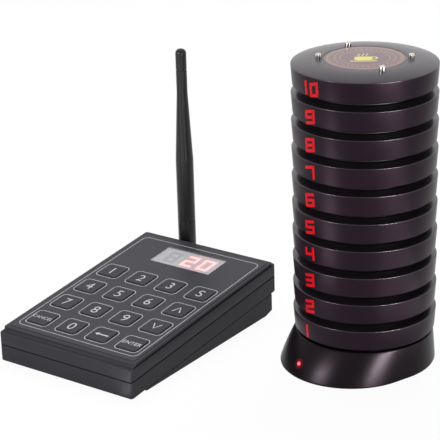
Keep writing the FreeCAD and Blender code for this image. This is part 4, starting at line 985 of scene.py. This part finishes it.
def face_holes():
    """Openings of the sixteen keys and the display window."""
    x, y = KEY_WIDTH / 2 + KEY_GAP, KEY_DEPTH / 2 + KEY_GAP
    holes = [
        round_box(u - x, u + x, v - y, v + y, KEY_CORNER + KEY_GAP, 0.0) for u, v in KEY_PLACES
    ]
    return holes + [round_box(LEFT, RIGHT, NEAR, FAR, 0.0003, 0.0, steps=3)]


def face_layer(name, outline, bottom, top, bevel):
    """Flat layer of the face between two heights: its outline and the face's
    holes are closed lines of one filled curve, which gives it its thickness
    and bevel."""
    curve = bpy.data.curves.new(name, "CURVE")
    curve.dimensions = "2D"
    curve.fill_mode = "BOTH"
    curve.extrude = (top - bottom) / 2 - bevel
    curve.bevel_depth = bevel
    curve.bevel_resolution = 0
    curve.offset = -bevel
    for ring in (outline, *face_holes()):
        spline = curve.splines.new("POLY")
        spline.points.add(len(ring) - 1)
        flat = np.concatenate((ring[:, :2], np.zeros((len(ring), 1)), np.ones((len(ring), 1))), 1)
        spline.points.foreach_set("co", flat.ravel())
        spline.use_cyclic_u = True
    return drawn_on_case(name, curve, (0, 0, (top + bottom) / 2))


def softened(name, material, body, width=0.0003):
    """A welded copy of a CAD node with small rounded edges, in its place."""
    thing = bpy.data.objects.new(f"{name}_finished", nodes[name].data.copy())
    scene.collection.objects.link(thing)
    shell = bmesh.new()
    shell.from_mesh(thing.data)
    bmesh.ops.remove_doubles(shell, verts=shell.verts, dist=2e-6)
    bmesh.ops.dissolve_limit(
        shell, angle_limit=math.radians(0.5), verts=shell.verts, edges=shell.edges
    )
    shell.to_mesh(thing.data)
    shell.free()
    edges = thing.modifiers.new("soft_edges", "BEVEL")
    edges.width = width
    edges.segments = 2
    edges.limit_method = "ANGLE"
    edges.angle_limit = math.radians(40)
    edges.use_clamp_overlap = True
    return dressed(thing, material, body, (name,))


charcoal = moulded("charcoal_moulding", (0.0320, 0.0308, 0.0375), 0.46, 0.32, 0.12)[0]
piece(
    "keypad_upper_shell",
    [on_case(top_cover_rows())],
    charcoal,
    "keypad",
    replaces=("keypad_top_cover",),
)
face_plate = face_layer(
    "keypad_face_plate",
    overlay_ring(0.0011, 0.001, CASE_HEIGHT),
    CASE_HEIGHT - 0.0022,
    OVERLAY_TOP - FILM,
    0.00005,
)
dressed(face_plate, charcoal, "keypad", crease=20)
softened("keypad_bottom_cover", charcoal, "keypad")

# ------------------------------------------------------------- keypad stand
# A hollow wedge below the case that tips it towards the user, cut away at
# its lower rear edge, screwed on and standing on four rubber feet.

softened("keypad_stand", charcoal, "keypad", 0.0004)
black_rubber = moulded("black_rubber", (0.012, 0.012, 0.013), 0.78, 0.4, 0.3)[0]
repaint(black_rubber, "keypad_feet", "charger_rubber_pad")
zinc = plated("zinc_screw", (0.62, 0.62, 0.63), 0.35)[0]
repaint(zinc, "keypad_screws")

# ---------------------------------------------------------- printed overlay
# A thin charcoal film let into the face, printed with a silver border and a
# silver frame round every key.

PRINT_LEVEL, LINE_WIDTH = OVERLAY_TOP + 0.00003, 0.0006
FRAME_X, FRAME_Y, FRAME_CORNER = 0.0093, 0.0092, 0.0034
BORDER, BORDER_CORNER = (-0.0506, 0.0506, 0.0123, 0.1571), 0.0042

film_face = moulded("overlay_film", (0.0290, 0.0280, 0.0350), 0.40, 0.12, 0.20)[0]
overlay = face_layer(
    "printed_overlay",
    overlay_ring(0.0001, 0.0019, CASE_HEIGHT),
    OVERLAY_TOP - FILM,
    OVERLAY_TOP,
    0.00008,
)
dressed(overlay, film_face, "keypad", replaces=("keypad_overlay",), crease=20)


def ribbon(left, right, front, rear, corner):
    """Printed line: the strip between two round boxes a line's width apart."""
    return np.stack(
        [
            round_box(left - i, right + i, front - i, rear + i, corner + i, PRINT_LEVEL)
            for i in (LINE_WIDTH / 2, -LINE_WIDTH / 2)
        ]
    )


silver_ink = moulded("silver_ink", (0.36, 0.36, 0.37), 0.42)[0]
frames = [
    ribbon(u - FRAME_X, u + FRAME_X, v - FRAME_Y, v + FRAME_Y, FRAME_CORNER)
    for u, v in KEY_PLACES
]
frames.append(ribbon(*BORDER, BORDER_CORNER))
piece("overlay_print", [on_case(grid) for grid in frames], silver_ink, "keypad")

# --------------------------------------------------------------------- keys
# Sixteen separate caps in the overlay's openings, each with a rounded edge, a
# flange below the face that keeps it in, and a pale printed legend.

KEYS = "cancel 0 arrow enter 7 8 9 down 4 5 6 up 1 2 3 s".split()
KEY_TOP, KEY_EDGE, KEY_FLANGE = OVERLAY_TOP + 0.0006, 0.0005, CASE_HEIGHT - 0.0039
LEGEND_LEVEL = KEY_TOP + 0.00001
NUMERAL_SIZE, WORD_SIZES = 0.0120, {"cancel": 0.0044, "enter": 0.0052}


def closed_top(grid):
    """Add a last row that gathers the ring at its middle."""
    middle = grid[-1].mean(axis=0)
    return np.concatenate((grid, np.broadcast_to(middle, (1, *grid[-1].shape))))


def key_grid():
    """Section of a key: flange, upright side, rounded edge, faintly dished top."""
    rows = [
        (-0.006, KEY_FLANGE),
        (0.0012, KEY_FLANGE),
        (0.0012, KEY_FLANGE + 0.0015),
        (0.0, KEY_FLANGE + 0.0015),
        (0.0, KEY_TOP - 0.0006),
    ]
    for a in np.linspace(0, np.pi / 2, 6):
        rows.append((-KEY_EDGE * (1 - math.cos(a)), KEY_TOP - KEY_EDGE * (1 - math.sin(a))))
    for shrink, dish in ((0.0014, 0.00001), (0.003, 0.00003), (0.0052, 0.00004), (0.0077, 0.00005)):
        rows.append((-shrink, KEY_TOP - dish))
    x, y = KEY_WIDTH / 2, KEY_DEPTH / 2
    rings = [
        round_box(-x - g, x + g, -y - g, y + g, max(KEY_CORNER + g, 0.0001), z) for g, z in rows
    ]
    return closed_top(np.stack(rings))


def lettering(name, text, size, u, v):
    """Text set flat on a key and centred on it, single characters a little thinner."""
    curve = bpy.data.curves.new(name, "FONT")
    curve.body = text
    curve.size = size
    curve.offset = -0.008 * size if len(text) == 1 else 0.0
    return drawn_on_case(name, curve, (u, v, LEGEND_LEVEL), centred=True)


def drawn_sign(name, polygons, u, v):
    """Sign of flat polygons, one face each, set flat on a key."""
    points, faces, first = [], [], 0
    for polygon in polygons:
        points.extend((u + x, v + y, LEGEND_LEVEL) for x, y in polygon)
        faces.append(tuple(range(first, first + len(polygon))))
        first += len(polygon)
    return mesh_object(name, on_case(np.array(points)), faces)


def chevron(upward):
    """Two strokes that meet in a point."""
    half, tall, stroke = 0.0036, 0.0034, 0.001
    left = [(-half, -tall), (-half + stroke, -tall), (0.0, tall - stroke), (0.0, tall)]
    rightward = [(half, -tall), (0.0, tall), (0.0, tall - stroke), (half - stroke, -tall)]
    if upward:
        return left, rightward
    return [[(x, -y) for x, y in part][::-1] for part in (left, rightward)]


SIGNS = {
    "arrow": (
        [(-0.0056, 0.0), (-0.0026, -0.0018), (-0.0026, 0.0018)],
        [(-0.0026, -0.0006), (0.0054, -0.0006), (0.0054, 0.0006), (-0.0026, 0.0006)],
    ),
    "down": chevron(False),
    "up": chevron(True),
}
key_shape = key_grid()
key_plastic = moulded("key_plastic", (0.0260, 0.0250, 0.0310), 0.44, 0.12, 0.18)[0]
legend_ink = moulded("legend_ink", (0.50, 0.50, 0.51), 0.5, specular=0.4)[0]
for (u, v), key in zip(KEY_PLACES, KEYS):
    body = f"key_{key}_cap"
    piece(
        f"key_{key}_top",
        [on_case(key_shape + (u, v, 0.0))],
        key_plastic,
        body,
        replaces=(f"key_{key}",),
    )
    if key in SIGNS:
        legend = drawn_sign(f"legend_{key}", SIGNS[key], u, v)
    else:
        size = WORD_SIZES.get(key, NUMERAL_SIZE)
        legend = lettering(f"legend_{key}", key.upper(), size, u, v)
    dressed(legend, legend_ink, body)

# ------------------------------------------------------------------ display
# A three digit light display on the board, close below a clear window that
# lies flush in the overlay.  It shows 20, with the first digit dark.

DISPLAY_FACE, DISPLAY_BACK = OVERLAY_TOP - 0.0009, 0.0142
SCREEN_MIDDLE = (NEAR + FAR) / 2
SCREEN_HEIGHT, SCREEN_WIDTH, SCREEN_STROKE = 0.0150, 0.0096, 0.0023
SCREEN_PLACES = (("8", -0.0182, False), ("2", -0.0029, True), ("0", 0.0110, True))
display_heart = on_case((0.0112, SCREEN_MIDDLE, DISPLAY_FACE))


def window_ring(inset, corner, height):
    """Ring inside the window's opening."""
    return round_box(LEFT + inset, RIGHT - inset, NEAR + inset, FAR - inset, corner, height, 2)


def screen_digit(digit, left, grow, height):
    """Bars of one digit on the display, widened all round by grow."""
    foot = np.array((left, SCREEN_MIDDLE - SCREEN_HEIGHT / 2))
    bars = [
        (pair[0] + foot, pair[1] + foot)
        for pair in digit_bars(digit, SCREEN_WIDTH, SCREEN_HEIGHT, SCREEN_STROKE, 0.00015, grow)
    ]

    def carry(flat):
        """Flat points at their height on the case."""
        return on_case(np.concatenate((flat, np.full((*flat.shape[:-1], 1), height)), -1))

    return strips(bars, carry)


display_grey, display_shader, display_place, _ = moulded(
    "display_face", (0.325, 0.325, 0.335), 0.55, specular=0.3
)
# Painted light: the lit digits' red glow on the display's face, an emission that fades away from
# their middle.
display_shader.inputs["Emission Strength"].default_value = 1.0
painted_digit_glow = distance(display_place, display_heart).band(0.0165, 0.0070)
painted_digit_glow.blend((0.0, 0.0, 0.0), (0.16, 0.010, 0.012)).feed(display_shader, "Emission Color")
display_rows = [window_ring(0.0002, 0.0002, height) for height in (DISPLAY_BACK, DISPLAY_FACE)]
piece(
    "display_block",
    [on_case(closed_top(np.stack(display_rows)))],
    display_grey,
    "keypad",
    replaces=("display_module",),
)



def two_tones(colour):
    """A colour a little dimmed, and the colour itself."""
    return shade(colour, 0.9), colour


satin = {"Roughness": 0.4}
core_tones, core_glows = two_tones((0.5, 0.25, 0.24)), two_tones((1.0, 0.60, 0.57))
halo_tones, halo_glows = two_tones((0.4, 0.16, 0.16)), two_tones((0.80, 0.20, 0.20))
lit_core = shining("lit_segment", core_tones, core_glows, 0.85, satin)
lit_halo = shining("segment_glow", halo_tones, halo_glows, 0.75, satin)
dark_segment = moulded("dark_segment", (0.225, 0.225, 0.232), 0.5, specular=0.3)[0]
for index, (digit, left, alight) in enumerate(SCREEN_PLACES, start=1):
    layers = [(0.0, 0.00003, dark_segment)]
    if alight:
        layers = [(0.0006, 0.00003, lit_halo), (0.0, 0.00006, lit_core)]
    for layer, (grow, rise, material) in enumerate(layers, start=1):
        points, faces = screen_digit(digit, left, grow, DISPLAY_FACE + rise)
        segment = mesh_object(f"display_digit_{index}_{layer}", points, faces)
        dressed(segment, material, "keypad")

clear_window = finish(
    "clear_window", {"Base Color": (0.9, 0.9, 0.92, 1), "Roughness": 0.06, "Alpha": 0.10}
)[0]
window_rows = [
    window_ring(0.0001 + inset, 0.0003, OVERLAY_TOP - drop)
    for inset, drop in ((0.0003, 0.0007), (0.0, 0.0007), (0.0, 0.0001), (0.0001, 0.0))
]
window_rows = closed_top(np.stack(window_rows))
piece(
    "display_window",
    [on_case(closed_top(window_rows[::-1])[::-1])],
    clear_window,
    "keypad",
    replaces=("display_lens",),
)

# ---------------------------------------------- boards, switches and sockets
# Green boards, black push switches and black power jacks, all behind the
# covers but for the jacks' round noses at the rear.

board_green = moulded("green_laminate", (0.012, 0.085, 0.035), 0.42, specular=0.4)[0]
repaint(board_green, "keypad_board", "charger_board")
black_plastic = moulded("black_connector", (0.010, 0.010, 0.011), 0.4, 0.1, 0.4)[0]
repaint(black_plastic, "key_switches", "keypad_power_jack", "charger_power_jack")

# ------------------------------------------------------------------ antenna
# A nickel plated socket and nut in the rear wall carry a black fork that
# turns on them.  The whip is a black moulding on a steel hinge pin: a thick
# barrel with a ring groove, a long taper and a capped tip.

SOCKET_ACROSS, SOCKET_LEVEL, HINGE_REACH = -0.0299, 0.0072, 0.012
rear_wall = CASE_LENGTH + math.tan(TILT) * (SOCKET_LEVEL - CASE_HEIGHT)
HINGE = on_case((SOCKET_ACROSS, rear_wall, SOCKET_LEVEL)) + (0.0, HINGE_REACH, 0.0)


def whip_profile():
    """Radius against height above the hinge pin."""
    barrel, tip, deep, half = 0.0064, 0.0039, 0.0004, 0.0004
    foot, joint, cap, top = 0.0052, 0.0257, 0.1399, 0.1554
    return rounded(
        [
            (0.0, foot, 0),
            (barrel - 0.0008, foot, 0.0003),
            (barrel, foot + 0.0008, 0.0005),
            (barrel, joint - half, 0.0002),
            (barrel - deep, joint - half, 0.0001),
            (barrel - deep, joint + half, 0.0001),
            (barrel, joint + half, 0.0002),
            (barrel, 0.0722, 0.03),
            (tip, 0.1232, 0.03),
            (tip, cap - half, 0.0002),
            (tip - deep, cap - half, 0.0001),
            (tip - deep, cap + half, 0.0001),
            (tip, cap + half, 0.0002),
            (tip, top, 0.0032),
            (0.0, top, 0),
        ],
        step=10,
    )


def tang_rows():
    """The whip's flat tongue: a plate with a round end about the hinge pin,
    shrunk a little towards both of its sides."""
    half, eye, top = 0.0025, 0.0045, 0.0068
    turn = np.linspace(np.pi, 2 * np.pi, 19)
    y = np.append(eye * np.cos(turn), (eye, -eye))
    z = np.append(eye * np.sin(turn), (top, top))
    side = ((half, 0.9), (half, 0.95), (half - 0.0003, 1))
    rows = [np.stack((0 * y - x, y * share, z * share), -1) for x, share in side]
    rows += [np.stack((0 * y + x, y * share, z * share), -1) for x, share in side[::-1]]
    return closed_top(closed_top(np.stack(rows))[::-1])[::-1]


antenna_black = moulded("antenna_moulding", (0.0130, 0.0130, 0.0140), 0.36, 0.12, 0.28)[0]
softened("antenna_socket", nickel, "keypad", 0.00015)
softened("antenna_knuckle", antenna_black, "antenna_fork")
repaint(zinc, "antenna_hinge_pin")
piece(
    "antenna_rod",
    [spun(whip_profile(), 48) + HINGE, tang_rows() + HINGE],
    antenna_black,
    "antenna_whip_body",
    replaces=("antenna_whip",),
)
